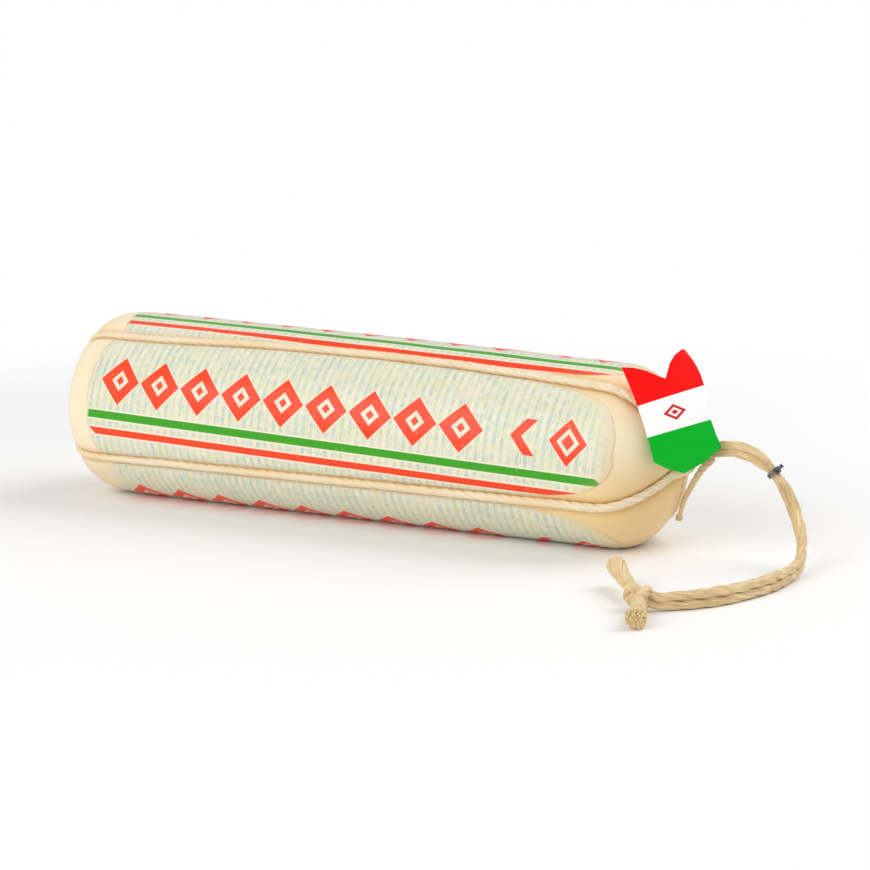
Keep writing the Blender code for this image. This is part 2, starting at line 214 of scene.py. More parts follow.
class Wiring:
    """Short calls that add nodes to a shader or geometry tree and join them up."""

    def __init__(self, tree):
        self.tree = tree

    def feed(self, socket, value):
        if isinstance(value, bpy.types.NodeSocket):
            self.tree.links.new(value, socket)
        elif value is not None:
            socket.default_value = value

    def node(self, kind, feeds=None, **options):
        made = self.tree.nodes.new(kind)
        for name, value in options.items():
            setattr(made, name, value)
        for key, value in (feeds or {}).items():
            self.feed(made.inputs[key], value)
        return made

    def times(self, a, b):
        return self.math("MULTIPLY", a, b)

    def plus(self, a, b):
        return self.math("ADD", a, b)

    def minus(self, a, b):
        return self.math("SUBTRACT", a, b)

    def most(self, a, b):
        return self.math("MAXIMUM", a, b)

    def over(self, a, b):
        return self.math("DIVIDE", a, b)

    def math(self, operation, *values, clamp=False):
        return self.node("ShaderNodeMath", dict(enumerate(values)), operation=operation,
                         use_clamp=clamp).outputs[0]

    def vector(self, operation, *values):
        made = self.node("ShaderNodeVectorMath", operation=operation)
        for socket, value in zip(made.inputs, values):
            self.feed(socket, value)
        return made.outputs[0]

    def scaled(self, vector, factor):
        made = self.node("ShaderNodeVectorMath", {"Scale": factor}, operation="SCALE")
        self.feed(made.inputs[0], vector)
        return made.outputs[0]

    def step(self, value, low, high, out_low=0.0, out_high=1.0):
        """Smooth step between two values."""
        made = self.node("ShaderNodeMapRange", {0: value, 1: low, 2: high, 3: out_low, 4: out_high},
                         interpolation_type="SMOOTHSTEP")
        return made.outputs[0]

    def colour_mix(self, factor, first, second):
        made = self.node("ShaderNodeMix", data_type="RGBA")
        self.feed(made.inputs[0], factor)
        self.feed(made.inputs[6], rgba(first))
        self.feed(made.inputs[7], rgba(second))
        return made.outputs[2]

    def mix(self, factor, first, second):
        made = self.node("ShaderNodeMix", data_type="FLOAT")
        for place, value in ((0, factor), (2, first), (3, second)):
            self.feed(made.inputs[place], value)
        return made.outputs[0]

    def noise(self, vector, scale, detail=2.0, roughness=0.5):
        return self.node("ShaderNodeTexNoise", {"Vector": vector, "Scale": scale, "Detail": detail,
                                                "Roughness": roughness}).outputs["Fac"]

    def dice(self, x, y):
        """Even random number for each pair of whole numbers."""
        place = self.node("ShaderNodeCombineXYZ", {"X": x, "Y": y}).outputs[0]
        return self.node("ShaderNodeTexWhiteNoise", {"Vector": place},
                         noise_dimensions="2D").outputs["Value"]

    def band(self, value, centre, half, soft):
        """1 within a distance of the centre and 0 outside, with a soft edge."""
        away = self.math("ABSOLUTE", self.math("SUBTRACT", value, centre))
        return self.step(away, half - soft / 2, half + soft / 2, 1.0, 0.0)

    def attribute(self, name):
        return self.node("ShaderNodeAttribute", attribute_name=name).outputs["Fac"]


def rgba(value):
    """A plain colour with its alpha; a socket is passed on."""
    if isinstance(value, bpy.types.NodeSocket):
        return value
    return (*value, 1.0)


def new_material(name):
    """Empty Principled material: the material, its wiring and its shader."""
    made = bpy.data.materials.new(name)
    made.use_nodes = True
    wires = Wiring(made.node_tree)
    return made, wires, made.node_tree.nodes["Principled BSDF"]


def soft_body(shader, weight, radius_mm, scale_mm):
    """Light that enters a waxy surface a little way."""
    shader.inputs["Subsurface Weight"].default_value = weight
    shader.inputs["Subsurface Radius"].default_value = radius_mm
    shader.inputs["Subsurface Scale"].default_value = scale_mm * MM


def bump(wires, shader, height, strength, distance):
    made = wires.node("ShaderNodeBump", {"Height": height, "Strength": strength,
                                         "Distance": distance})
    wires.feed(shader.inputs["Normal"], made.outputs["Normal"])


def object_place(wires):
    return wires.node("ShaderNodeTexCoord").outputs["Object"]


# ---- materials ----

def rind_colour(wires, cheese, place):
    """Cream rind: painted contact shade in the grooves beside the twine, painted shade on the lower
    neck, warmer bare cheese on the ends and beside the twine, and soft mottling.
    """
    parts = wires.node("ShaderNodeSeparateXYZ", {0: place})
    x, height = parts.outputs["X"], parts.outputs["Z"]
    mottle = wires.noise(place, 42.0, 3.0)
    base = wires.colour_mix(wires.step(mottle, 0.35, 0.68), cheese.rind,
                            [c * k for c, k in zip(cheese.rind, (0.985, 0.95, 0.86))])
    neck = wires.step(x, 70.0 * MM, 128.0 * MM)
    butt = wires.step(x, -100.0 * MM, -130.0 * MM)
    # Painted shade: lower on the neck the rind takes more of the darker bare-end colour
    low = wires.step(height, 50.0 * MM, 14.0 * MM, 0.12, 1.0)
    ends = wires.most(wires.times(neck, low), wires.times(butt, 0.12))
    base = wires.colour_mix(wires.times(ends, 0.85), base, cheese.bare_end_and_shade)
    close = wires.attribute("crease_shade")
    beside = wires.times(wires.math("POWER", close, 0.12),
                         wires.step(x, 20.0 * MM, 105.0 * MM, 0.05, 0.6))
    base = wires.colour_mix(beside, base, cheese.bare_end_and_shade)
    # Painted contact shade: warm brown darkening in the grooves beside the twine
    crease_shade = wires.times(close, 0.8)
    return wires.colour_mix(crease_shade, base, cheese.crease_shade)


def rind_material(scene):
    cheese = settings(scene, "bound_cheese")
    made, wires, shader = new_material("Waxed rind")
    place = object_place(wires)
    wires.feed(shader.inputs["Base Color"], rind_colour(wires, cheese, place))
    gloss = wires.noise(place, 55.0, 2.0)
    wires.feed(shader.inputs["Roughness"], wires.step(gloss, 0.3, 0.7, 0.36, 0.52))
    soft_body(shader, 0.15, (1.0, 0.7, 0.4), 2.0)
    shader.inputs["Specular IOR Level"].default_value = 0.3
    bump(wires, shader, wires.noise(place, 160.0, 2.0), 0.12, 0.6 * MM)
    return made


def fine_print(wires, x, arc):
    """Columns of small blocks: how much ink, and how warm it is."""
    column_pitch, cell_x, cell_arc, word_arc = 3.3, 0.55, 0.45, 2.1
    lean = wires.plus(x, wires.times(arc, 0.06))
    column = wires.over(lean, column_pitch)
    within = wires.times(wires.math("FRACT", column), column_pitch)
    stroke = wires.band(within, 1.1, 0.8, 0.3)
    speck = wires.dice(wires.math("FLOOR", wires.over(lean, cell_x)),
                       wires.math("FLOOR", wires.over(arc, cell_arc)))
    word = wires.dice(wires.math("FLOOR", column), wires.math("FLOOR", wires.over(arc, word_arc)))
    ink = wires.times(stroke, wires.step(speck, 0.2, 0.5, 0.45, 1.0))
    ink = wires.times(ink, wires.step(word, 0.0, 0.3, 0.4, 1.0))
    second = wires.times(wires.band(within, 2.65, 0.35, 0.4),
                         wires.step(wires.math("FRACT", wires.times(word, 7.3)),
                                    0.3, 0.8, 0.0, 0.7))
    warm = wires.math("FRACT", wires.times(word, 3.7))
    return wires.most(ink, second), wires.step(warm, 0.45, 0.75)


def lozenge(wires, x, arc, half_x, half_arc):
    """Distance measure of a lozenge: 1 on its outline."""
    across = wires.over(wires.math("ABSOLUTE", x), half_x)
    up = wires.over(wires.math("ABSOLUTE", arc), half_arc)
    return wires.plus(across, up)


def figures(wires, x, arc):
    """Row of nine bold open lozenges and two smaller signs: ink and halo."""
    first, pitch, count = -105.0, 19.0, 9       # start, spacing and number of lozenges
    chevron_x, end_x = 76.0, 99.0
    step = wires.over(wires.minus(x, first), pitch)
    local = wires.times(wires.minus(wires.math("FRACT", step), 0.5), pitch)
    inside = wires.band(x, first + pitch * count / 2, pitch * count / 2, 0.1)
    shape = lozenge(wires, local, arc, 9.2, 9.6)
    frame_ink = wires.band(shape, 0.71, 0.28, 0.05)
    heart = wires.step(shape, 0.17, 0.22, 1.0, 0.0)
    ink = wires.times(wires.most(frame_ink, heart), inside)
    halo = wires.times(wires.step(shape, 1.06, 1.12, 1.0, 0.0), inside)

    chevron = wires.minus(wires.minus(x, chevron_x), wires.times(wires.math("ABSOLUTE", arc), 0.8))
    chevron_ink = wires.times(wires.band(chevron, 2.6, 2.2, 0.4), wires.band(arc, 0.0, 7.0, 0.4))
    end = lozenge(wires, wires.minus(x, end_x), arc, 7.6, 9.4)
    end_ink = wires.most(wires.band(end, 0.78, 0.2, 0.06), wires.step(end, 0.3, 0.37, 1.0, 0.0))
    ink = wires.most(ink, wires.most(chevron_ink, end_ink))
    halo = wires.most(halo, wires.step(end, 1.05, 1.12, 1.0, 0.0))
    return ink, halo


def film_material(scene):
    film = settings(scene, "bound_cheese_film")
    cheese = settings(scene, "bound_cheese")
    made, wires, shader = new_material("Printed film")
    place = object_place(wires)
    uv = wires.node("ShaderNodeUVMap", uv_map="Print").outputs["UV"]
    split = wires.node("ShaderNodeSeparateXYZ", {0: uv})
    x = wires.times(wires.minus(split.outputs["X"], 0.5), PRINT_SPAN_X / MM)
    arc = wires.times(wires.minus(split.outputs["Y"], 0.5), PRINT_SPAN_ARC / MM)

    blotch = wires.noise(place, 60.0, 3.0)
    ground = wires.colour_mix(wires.step(blotch, 0.35, 0.7, 0.0, 0.45), film.ground, cheese.rind)
    ink, warm = fine_print(wires, x, arc)
    fine = wires.colour_mix(warm, film.fine_cool, film.fine_warm)
    wear = wires.step(wires.noise(place, 90.0, 3.0), 0.3, 0.6, 0.55, 1.0)
    ground = wires.colour_mix(wires.times(ink, wear), ground, fine)

    # Two stripes with pale halos, and the row of figures
    slant = wires.plus(x, wires.times(wires.minus(arc, GREEN_ARC), -1.2))
    ends = wires.step(slant, 111.0, 112.0, 1.0, 0.0)
    for centre, half in ((GREEN_ARC, 2.25), (RED_ARC, 2.1)):
        halo = wires.times(wires.band(arc, centre, half, 0.5), ends)
        ground = wires.colour_mix(wires.times(halo, 0.85), ground, film.halo)
    mark, mark_halo = figures(wires, x, arc)
    ground = wires.colour_mix(wires.times(mark_halo, 0.35), ground, film.halo)
    flecks = wires.step(wires.noise(place, 700.0, 2.0), 0.26, 0.33, 0.8, 1.0)
    green_start = wires.step(x, -112.0, -111.5)
    green = wires.times(wires.band(arc, GREEN_ARC, 1.55, 0.2), wires.times(ends, green_start))
    red_start = wires.step(wires.minus(x, arc), -129.0, -128.4)
    red = wires.times(wires.band(arc, RED_ARC, 1.4, 0.2), wires.times(ends, red_start))
    ground = wires.colour_mix(wires.times(green, flecks), ground, film.green)
    red = wires.most(red, mark)
    ground = wires.colour_mix(wires.times(red, flecks), ground, film.red)

    # The print thins out over the bare neck, and the film's rim shows the rind
    rind = rind_colour(wires, cheese, place)
    cloud = wires.times(wires.noise(place, 70.0, 3.0), 7.0)
    left = wires.plus(wires.attribute("from_neck"), cloud)
    strong = wires.most(red, green)
    veil = wires.step(left, 2.5, 13.0, 1.0, 0.0)
    veil = wires.times(veil, wires.minus(1.0, wires.times(strong, 0.85)))
    rim = wires.step(wires.attribute("from_edge"), 0.1, 1.2, 0.9, 0.0)
    wires.feed(shader.inputs["Base Color"], wires.colour_mix(wires.most(veil, rim), ground, rind))

    gloss = wires.noise(place, 45.0, 3.0)
    wires.feed(shader.inputs["Roughness"], wires.step(gloss, 0.3, 0.7, 0.22, 0.42))
    shader.inputs["Specular IOR Level"].default_value = 0.25
    shader.inputs["Coat Weight"].default_value = 0.12
    shader.inputs["Coat Roughness"].default_value = 0.18
    soft_body(shader, 0.1, (1.0, 0.8, 0.5), 1.5)
    crinkles = wires.plus(wires.noise(place, 110.0, 4.0, 0.6),
                          wires.times(wires.noise(place, 420.0, 2.0), 0.25))
    bump(wires, shader, crinkles, 0.22, 0.8 * MM)
    return made


def strand_colour(wires, twine, light, dark_share):
    """Fibres that run along a strand, from the strand's own length and angle."""
    run = wires.node("ShaderNodeCombineXYZ", {
        "X": wires.times(wires.attribute("run"), 160.0),
        "Y": wires.times(wires.attribute("turn"), 9.0),
        "Z": wires.times(wires.attribute("strand"), 5.0)}).outputs[0]
    fibre = wires.noise(run, 1.0, 4.0, 0.65)
    shade = wires.step(fibre, 0.36, 0.66, dark_share, 0.0)
    return wires.colour_mix(shade, light, twine.dark), fibre


def waxed_twine_material(scene):
    twine = settings(scene, "bound_cheese_twine")
    made, wires, shader = new_material("Waxed twine")
    colour, fibre = strand_colour(wires, twine, twine.waxed, 0.2)
    place = object_place(wires)
    patch = wires.step(wires.noise(place, 35.0, 2.0), 0.4, 0.65)
    colour = wires.colour_mix(wires.times(patch, 0.3), colour,
                              settings(scene, "bound_cheese").bare_end_and_shade)
    wires.feed(shader.inputs["Base Color"], colour)
    gloss = wires.noise(place, 80.0)
    wires.feed(shader.inputs["Roughness"], wires.step(gloss, 0.3, 0.7, 0.42, 0.6))
    soft_body(shader, 0.1, (1.0, 0.7, 0.4), 1.5)
    bump(wires, shader, fibre, 0.25, 0.3 * MM)
    return made


def dry_twine_material(scene, name, dark_share):
    twine = settings(scene, "bound_cheese_twine")
    made, wires, shader = new_material(name)
    pale = [min(1.0, c * k) for c, k in zip(twine.dry, (1.18, 1.24, 1.4))]
    patch = wires.step(wires.noise(object_place(wires), 90.0, 3.0), 0.35, 0.65)
    light = wires.colour_mix(patch, twine.dry, pale)
    colour, fibre = strand_colour(wires, twine, light, dark_share)
    wires.feed(shader.inputs["Base Color"], colour)
    wires.feed(shader.inputs["Roughness"], wires.step(fibre, 0.2, 0.8, 0.72, 0.9))
    shader.inputs["Sheen Weight"].default_value = 0.15
    bump(wires, shader, fibre, 0.6, 0.35 * MM)
    return made


def wire_material(scene):
    made, wires, shader = new_material("Dark wire")
    worn = wires.noise(object_place(wires), 900.0, 2.0)
    wires.feed(shader.inputs["Base Color"],
               wires.colour_mix(wires.step(worn, 0.4, 0.7), (0.10, 0.10, 0.12), (0.32, 0.32, 0.36)))
    wires.feed(shader.inputs["Roughness"], wires.step(worn, 0.3, 0.7, 0.3, 0.5))
    shader.inputs["Metallic"].default_value = 0.8
    return made


def card_material(scene):
    tag = settings(scene, "bound_cheese_tag")
    made, wires, shader = new_material("Coated card")
    uv = wires.node("ShaderNodeUVMap", uv_map="Card").outputs["UV"]
    split = wires.node("ShaderNodeSeparateXYZ", {0: uv})
    u, v = (wires.minus(wires.times(split.outputs[axis], CARD_SPAN), shift)
            for axis, shift in zip("XY", CARD_SHIFT))
    upper = wires.minus(v, wires.times(u, 0.092))
    lower = wires.minus(v, wires.times(u, 0.062))
    white = wires.step(lower, 8.65, 8.85)
    red = wires.step(upper, 20.5, 20.7)
    colour = wires.colour_mix(white, tag.green, tag.white)
    colour = wires.colour_mix(red, colour, tag.red)
    # A small generic sign in the middle field
    sign = lozenge(wires, wires.minus(u, 11.5), wires.minus(v, 15.6), 4.4, 3.0)
    ink = wires.most(wires.band(sign, 0.8, 0.2, 0.08), wires.step(sign, 0.28, 0.36, 1.0, 0.0))
    colour = wires.colour_mix(ink, colour, (0.62, 0.03, 0.03))
    wires.feed(shader.inputs["Base Color"], colour)
    place = object_place(wires)
    gloss = wires.noise(place, 60.0)
    wires.feed(shader.inputs["Roughness"], wires.step(gloss, 0.3, 0.7, 0.28, 0.4))
    shader.inputs["Specular IOR Level"].default_value = 0.15
    bump(wires, shader, wires.noise(place, 500.0, 2.0), 0.05, 0.2 * MM)
    return made


def floor_material(scene):
    """White floor that keeps the object's shadow and runs out into pure white."""
    studio = settings(scene, "bound_cheese_studio")
    made, wires, shader = new_material("Studio floor")
    shader.inputs["Base Color"].default_value = rgba(studio.floor)
    shader.inputs["Roughness"].default_value = 0.7
    shader.inputs["Specular IOR Level"].default_value = 0.1
    away = wires.node("ShaderNodeVectorMath", operation="LENGTH")
    wires.feed(away.inputs[0], object_place(wires))
    far = wires.step(away.outputs["Value"], 0.26, 0.55)
    paths = wires.node("ShaderNodeLightPath")
    seen = wires.most(paths.outputs["Is Camera Ray"],
                      wires.most(paths.outputs["Is Glossy Ray"],
                                 paths.outputs["Is Transmission Ray"]))
    glow = wires.node("ShaderNodeEmission", {"Strength": 1.0})
    blend = wires.node("ShaderNodeMixShader", {0: wires.times(far, seen)})
    wires.feed(blend.inputs[1], shader.outputs[0])
    wires.feed(blend.inputs[2], glow.outputs[0])
    output = made.node_tree.nodes["Material Output"]
    wires.feed(output.inputs["Surface"], blend.outputs[0])
    return made


# ---- making pieces ----

def add_piece(name, mesh, finish, slot, *nodes):
    """Links a finished mesh as a piece that rides on the body and stands for CAD nodes."""
    piece = bpy.data.objects.new(name, mesh)
    bpy.context.scene.collection.objects.link(piece)
    if finish is not None:
        mesh.materials.clear()
        mesh.materials.append(finish)
    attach(piece, "root")
    if nodes:
        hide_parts(*nodes)
    return piece


def mesh_of(name, verts, faces, smooth=True):
    mesh = bpy.data.meshes.new(name)
    mesh.from_pydata(verts, [], faces)
    if smooth:
        mesh.shade_smooth()
    mesh.update()
    return mesh


def closed_sheet(rows, columns):
    """Faces of a thin closed sheet, an outer and an inner grid, and where its rim starts."""
    total = rows * columns
    faces = []
    for i in range(rows - 1):
        for j in range(columns - 1):
            a, b = i * columns + j, (i + 1) * columns + j
            faces.append((a, a + 1, b + 1, b))
            faces.append((total + a, total + b, total + b + 1, total + a + 1))
    rim = [(0, j) for j in range(columns)] + [(i, columns - 1) for i in range(1, rows)]
    rim += [(rows - 1, j) for j in range(columns - 2, -1, -1)]
    rim += [(i, 0) for i in range(rows - 2, 0, -1)]
    rim = [i * columns + j for i, j in rim]
    rim_start = len(faces)
    for a, b in zip(rim, rim[1:] + rim[:1]):
        faces.append((a, total + a, total + b, b))
    return faces, rim_start


def lay_print(mesh, name, uv):
    """Gives both layers of a closed sheet the same print coordinates."""
    layer = mesh.uv_layers.new(name=name)
    both = uv * 2
    for loop in mesh.loops:
        layer.data[loop.index].uv = both[loop.vertex_index]


def outward(mesh):
    """Merges doubles and turns every face outwards, in place."""
    made = bmesh.new()
    made.from_mesh(mesh)
    bmesh.ops.remove_doubles(made, verts=made.verts, dist=0.001 * MM)
    bmesh.ops.recalc_face_normals(made, faces=made.faces)
    made.to_mesh(mesh)
    made.free()


def store_values(mesh, name, values):
    layer = mesh.attributes.new(name, "FLOAT", "POINT")
    layer.data.foreach_set("value", values)


def finish_with_tree(name, data, tree, inputs):
    """Runs a Geometry Nodes tree on curve or mesh data and returns the result as a mesh."""
    source = bpy.data.objects.new(name + " source", data)
    bpy.context.scene.collection.objects.link(source)
    modifier = source.modifiers.new("Build", "NODES")
    modifier.node_group = tree
    for item in tree.interface.items_tree:
        if item.item_type == "SOCKET" and item.in_out == "INPUT" and item.name in inputs:
            modifier[item.identifier] = inputs[item.name]
    depsgraph = bpy.context.evaluated_depsgraph_get()
    mesh = bpy.data.meshes.new_from_object(source.evaluated_get(depsgraph),
                                           preserve_all_data_layers=True, depsgraph=depsgraph)
    mesh.name = name
    source.modifiers.remove(modifier)
    bpy.data.objects.remove(source, do_unlink=True)
    if not mesh.polygons:
        raise RuntimeError(f"{name}: its tree made no faces")
    return mesh


def curve_of(name, points, radii=None, cyclic=False):
    curve = bpy.data.curves.new(name, "CURVE")
    curve.dimensions = "3D"
    curve.twist_mode = "MINIMUM" if cyclic else "Z_UP"
    spline = curve.splines.new("POLY")
    spline.points.add(len(points) - 1)
    spline.use_cyclic_u = cyclic
    for i, point in enumerate(points):
        spline.points[i].co = (*point, 1.0)
        spline.points[i].radius = radii[i] if radii else 1.0
    return curve


# ---- the shape of the cheese ----

LIFT_OFF = 0.02 * MM          # the film's inner face above the rind
LYING = 0.36 * MM             # height of the rind over the floor, under the film


def straight_radius(x):
    along = x / LENGTH + 0.5
    return BUTT_RADIUS + (NECK_RADIUS - BUTT_RADIUS) * along + BELLY * (1.0 - (2 * x / LENGTH) ** 2)


def axis_height(x):
    return straight_radius(x) - SINK


def cap_facts(side):
    return (NECK_CAP, *NECK_SHAPE) if side > 0 else (BUTT_CAP, *BUTT_SHAPE)


def cap_point(side, rise):
    """Place along the cheese at a rise on its cap: 0 at the pole, 90 where the body starts."""
    cap, fullness, bluntness = cap_facts(side)
    share = sin(radians(rise))
    along = max(0.0, 1.0 - share ** bluntness) ** (1.0 / fullness)
    x = side * (LENGTH / 2 - cap + cap * along)
    return x, straight_radius(x) * share


def cap_radius(x):
    cap, fullness, bluntness = cap_facts(x)
    along = (abs(x) - (LENGTH / 2 - cap)) / cap
    if along <= 0.0:
        return straight_radius(x)
    return straight_radius(x) * max(0.0, 1.0 - min(along, 1.0) ** fullness) ** (1.0 / bluntness)


def outline_normal(x, radius):
    if radius < 0.05 * MM:
        return (1.0 if x > 0 else -1.0), 0.0
    step = 0.02 * MM
    low, high = max(x - step, -LENGTH / 2), min(x + step, LENGTH / 2)
    normal = Vector((cap_radius(low) - cap_radius(high), high - low)).normalized()
    return normal.x, normal.y


def groove_angle(index, x):
    middle, tilt, bow, hook = GROOVES[index % 4]
    along = 2.0 * x / LENGTH
    hooked = hook * max(0.0, -along - HOOK_START) ** 2
    return middle + tilt * along + bow * along ** 2 + hooked + 360.0 * (index // 4)


def groove_arc(x, radius, angle):
    """Arc length from the nearest groove."""
    nearest = min(abs((angle - groove_angle(i, x) + 180.0) % 360.0 - 180.0) for i in range(4))
    return radius * radians(nearest)


def dents(x, radius, angle, depth):
    """Soft unevenness of the rind, always inwards."""
    turn = radians(angle)
    place = Vector((x, radius * sin(turn), radius * cos(turn)))
    slow = noise.noise(place * 26.0) * 0.5 + noise.noise(place * 70.0) * 0.22
    return -depth * min(1.0, max(0.0, 0.5 + slow))


def skin_point(x, radius, angle, out, lowest, depth):
    """Point outside the grooved, uneven skin by a distance, not below a height."""
    normal_x, normal_r = outline_normal(x, radius)
    deepest = GROOVE_DEPTH + POLE_DIMPLE * abs(2.0 * x / LENGTH) ** 12
    out -= deepest * exp(-(groove_arc(x, radius, angle) / GROOVE_WIDTH) ** 2)
    out += dents(x, radius, angle, depth) * min(1.0, radius / (20.0 * MM))
    reach = radius + normal_r * out
    turn = radians(angle)
    height = max(axis_height(x) + reach * cos(turn), lowest)
    return Vector((x + normal_x * out, -reach * sin(turn), height))


def outline_stations(cap_count, body_count):
    rises = [90.0 * (i + 1) / (cap_count + 1) for i in range(cap_count)]
    start, end = -LENGTH / 2 + BUTT_CAP, LENGTH / 2 - NECK_CAP
    points = [cap_point(-1, rise) for rise in rises]
    for i in range(body_count):
        x = start + (end - start) * i / (body_count - 1)
        points.append((x, straight_radius(x)))
    return points + [cap_point(1, rise) for rise in reversed(rises)]


def crease_share(arc):
    return exp(-(arc / (2.7 * MM)) ** 2)


class CHEESE_OT_body(Operator):
    """Builds the waxed body with its four grooves"""
    bl_idname = "bound_cheese.body"
    bl_label = "Cheese body"

    def execute(self, context):
        depth = settings(context.scene, "bound_cheese").unevenness
        around = 55                 # points from one groove to the next
        verts, faces, crease_shade = [], [], []
        stations = outline_stations(34, 150)
        for x, radius in stations:
            for lobe in range(4):
                start = groove_angle(lobe, x)
                width = groove_angle(lobe + 1, x) - start
                for i in range(around):
                    share = i / around
                    share -= 0.75 * sin(2 * pi * share) / (2 * pi)
                    angle = start + width * share
                    verts.append(skin_point(x, radius, angle, 0.0, LYING, depth))
                    # Nearness to a groove, where the rind's material paints contact shade
                    crease_shade.append(crease_share(groove_arc(x, max(radius, 4 * MM), angle)))
        ring = 4 * around
        for k in range(len(stations) - 1):
            for i in range(ring):
                j = (i + 1) % ring
                faces.append((k * ring + i, k * ring + j, (k + 1) * ring + j, (k + 1) * ring + i))
        for side, base in ((-1, 0), (1, (len(stations) - 1) * ring)):
            pole = len(verts)
            verts.append(skin_point(side * LENGTH / 2, 0.0, 0.0, 0.0, 0.0, 0.0))
            crease_shade.append(1.0)
            for i in range(ring):
                corner = (base + i, base + (i + 1) % ring, pole)
                faces.append(corner if side > 0 else corner[::-1])
        mesh = mesh_of("cheese_body", verts, faces)
        store_values(mesh, "crease_shade", crease_shade)
        outward(mesh)
        mesh.shade_smooth()
        add_piece("cheese_body", mesh, rind_material(context.scene), "cheese_rind", "cheese")
        return {"FINISHED"}


def film_span(lobe, across):
    """Where a panel starts and ends, between two grooves."""
    bulge = abs(2.0 * across - 1.0) / (1.0 - 2.0 * FILM_MARGIN)
    start = FILM_BUTT_X + PANELS[lobe][1] + FILM_BUTT_ROUNDING * bulge ** 3
    end = FILM_NECK_X + PANELS[lobe][2]
    end -= FILM_NECK_ROUNDING * bulge ** 2.5 + FILM_NECK_TRIM * bulge ** 10
    ragged = noise.noise(Vector((across * 9.0, lobe * 3.7, 0.5)))
    start += 1.0 * MM * ragged
    end -= 1.0 * MM * max(0.0, noise.noise(Vector((across * 6.0, lobe * 5.1, 2.5))) + 0.3)
    return start, end


def film_sample(lobe, across, along, crinkle):
    """Outer point of a panel with its print coordinates and distances to its edges."""
    start, end = film_span(lobe, across)
    x = start + (end - start) * along
    low, high = groove_angle(lobe, x), groove_angle(lobe + 1, x)
    angle = low + (high - low) * across
    radius = cap_radius(x)
    side_gap = (min(across, 1.0 - across) - FILM_MARGIN) * radians(high - low) * radius
    edge = min(side_gap, x - start, end - x)
    turn = radians(angle)
    place = Vector((x, radius * sin(turn), radius * cos(turn)))
    ridge = 1.0 - abs(noise.noise(place * 190.0)) * 2.4
    ridge = max(0.0, ridge) ** 3
    near = exp(-(edge / (7.0 * MM)) ** 2) * min(1.0, max(0.0, edge) / (1.5 * MM))
    corner = 0.25 + 0.75 * max(0.0, noise.noise(place * 38.0) * 2.0)
    out = LIFT_OFF + crinkle * ridge * near * corner
    figures_angle = PANELS[lobe][3] + PANELS[lobe][4] * x / MM
    if figures_angle - low > 180.0:
        figures_angle -= 360.0
    arc = radians(angle - figures_angle) * ARC_RADIUS
    return x, radius, angle, out, arc, edge, end - x


def lobe_wide(across_count):
    """Shares of the way across a panel, clear of the twine on both sides."""
    low, high = FILM_MARGIN, 1.0 - FILM_MARGIN
    return [low + (high - low) * (i / (across_count - 1)) for i in range(across_count)]


class CHEESE_OT_films(Operator):
    """Builds the four printed film panels"""
    bl_idname = "bound_cheese.films"
    bl_label = "Printed film"

    def execute(self, context):
        film = settings(context.scene, "bound_cheese_film")
        depth = settings(context.scene, "bound_cheese").unevenness
        finish = film_material(context.scene)
        columns, rows = 72, 260
        for lobe, panel in enumerate(PANELS):
            outer, inner, uv, values = [], [], [], {"crease_shade": [], "from_neck": [], "from_edge": []}
            for i in range(rows):
                for across in lobe_wide(columns):
                    x, radius, angle, out, arc, edge, neck = film_sample(
                        lobe, across, i / (rows - 1), film.crinkle)
                    thick = film.thickness * (0.15 + 0.85 * min(1.0, max(0.0, edge) / (4 * MM)))
                    inner.append(skin_point(x, radius, angle, out, film.thickness, depth))
                    outer.append(skin_point(x, radius, angle, out + thick, 0.0, depth))
                    uv.append((x / PRINT_SPAN_X + 0.5, arc / PRINT_SPAN_ARC + 0.5))
                    # Nearness to a groove, for the painted contact shade in the rind colour at the
                    # film's rim
                    values["crease_shade"].append(crease_share(groove_arc(x, radius, angle)))
                    values["from_neck"].append(neck / MM)
                    values["from_edge"].append(edge / MM)
            faces, rim_start = closed_sheet(rows, columns)
            mesh = mesh_of(panel[0], outer + inner, faces)
            for name, numbers in values.items():
                store_values(mesh, name, numbers * 2)
            lay_print(mesh, "Print", uv)
            outward(mesh)
            mesh.shade_smooth()
            for face in mesh.polygons[rim_start:]:
                face.use_smooth = False
            add_piece(panel[0] + "_print", mesh, finish, "printed_film", panel[0])
        return {"FINISHED"}


# ---- twine ----

def open_tree(name, numbers, whole=()):
    """New Geometry Nodes tree with named inputs: wiring, geometry in, input sockets, output."""
    tree = bpy.data.node_groups.new(name, "GeometryNodeTree")
    face = tree.interface
    face.new_socket("Geometry", in_out="INPUT", socket_type="NodeSocketGeometry")
    for label in numbers:
        face.new_socket(label, in_out="INPUT", socket_type="NodeSocketFloat")
    for label in whole:
        face.new_socket(label, in_out="INPUT", socket_type="NodeSocketInt")
    face.new_socket("Geometry", in_out="OUTPUT", socket_type="NodeSocketGeometry")
    wires = Wiring(tree)
    source = wires.node("NodeGroupInput")
    return wires, source.outputs, wires.node("NodeGroupOutput")


def close_tree(wires, geometry, finish, output):
    smooth = wires.node("GeometryNodeSetShadeSmooth", {"Geometry": geometry})
    real = wires.node("GeometryNodeRealizeInstances", {0: smooth.outputs[0]})
    painted = wires.node("GeometryNodeSetMaterial", {"Geometry": real.outputs[0],
                                                     "Material": finish})
    wires.feed(output.inputs[0], painted.outputs[0])
    return wires.tree


def round_the_curve(wires, angle, reach):
    """Offset from a curve, square to it, at an angle and a distance."""
    normal = wires.node("GeometryNodeInputNormal").outputs["Normal"]
    tangent = wires.node("GeometryNodeInputTangent").outputs[0]
    side = wires.vector("CROSS_PRODUCT", tangent, normal)
    level = wires.scaled(normal, wires.math("COSINE", angle))
    upright = wires.scaled(side, wires.math("SINE", angle))
    return wires.scaled(wires.vector("ADD", level, upright), reach)


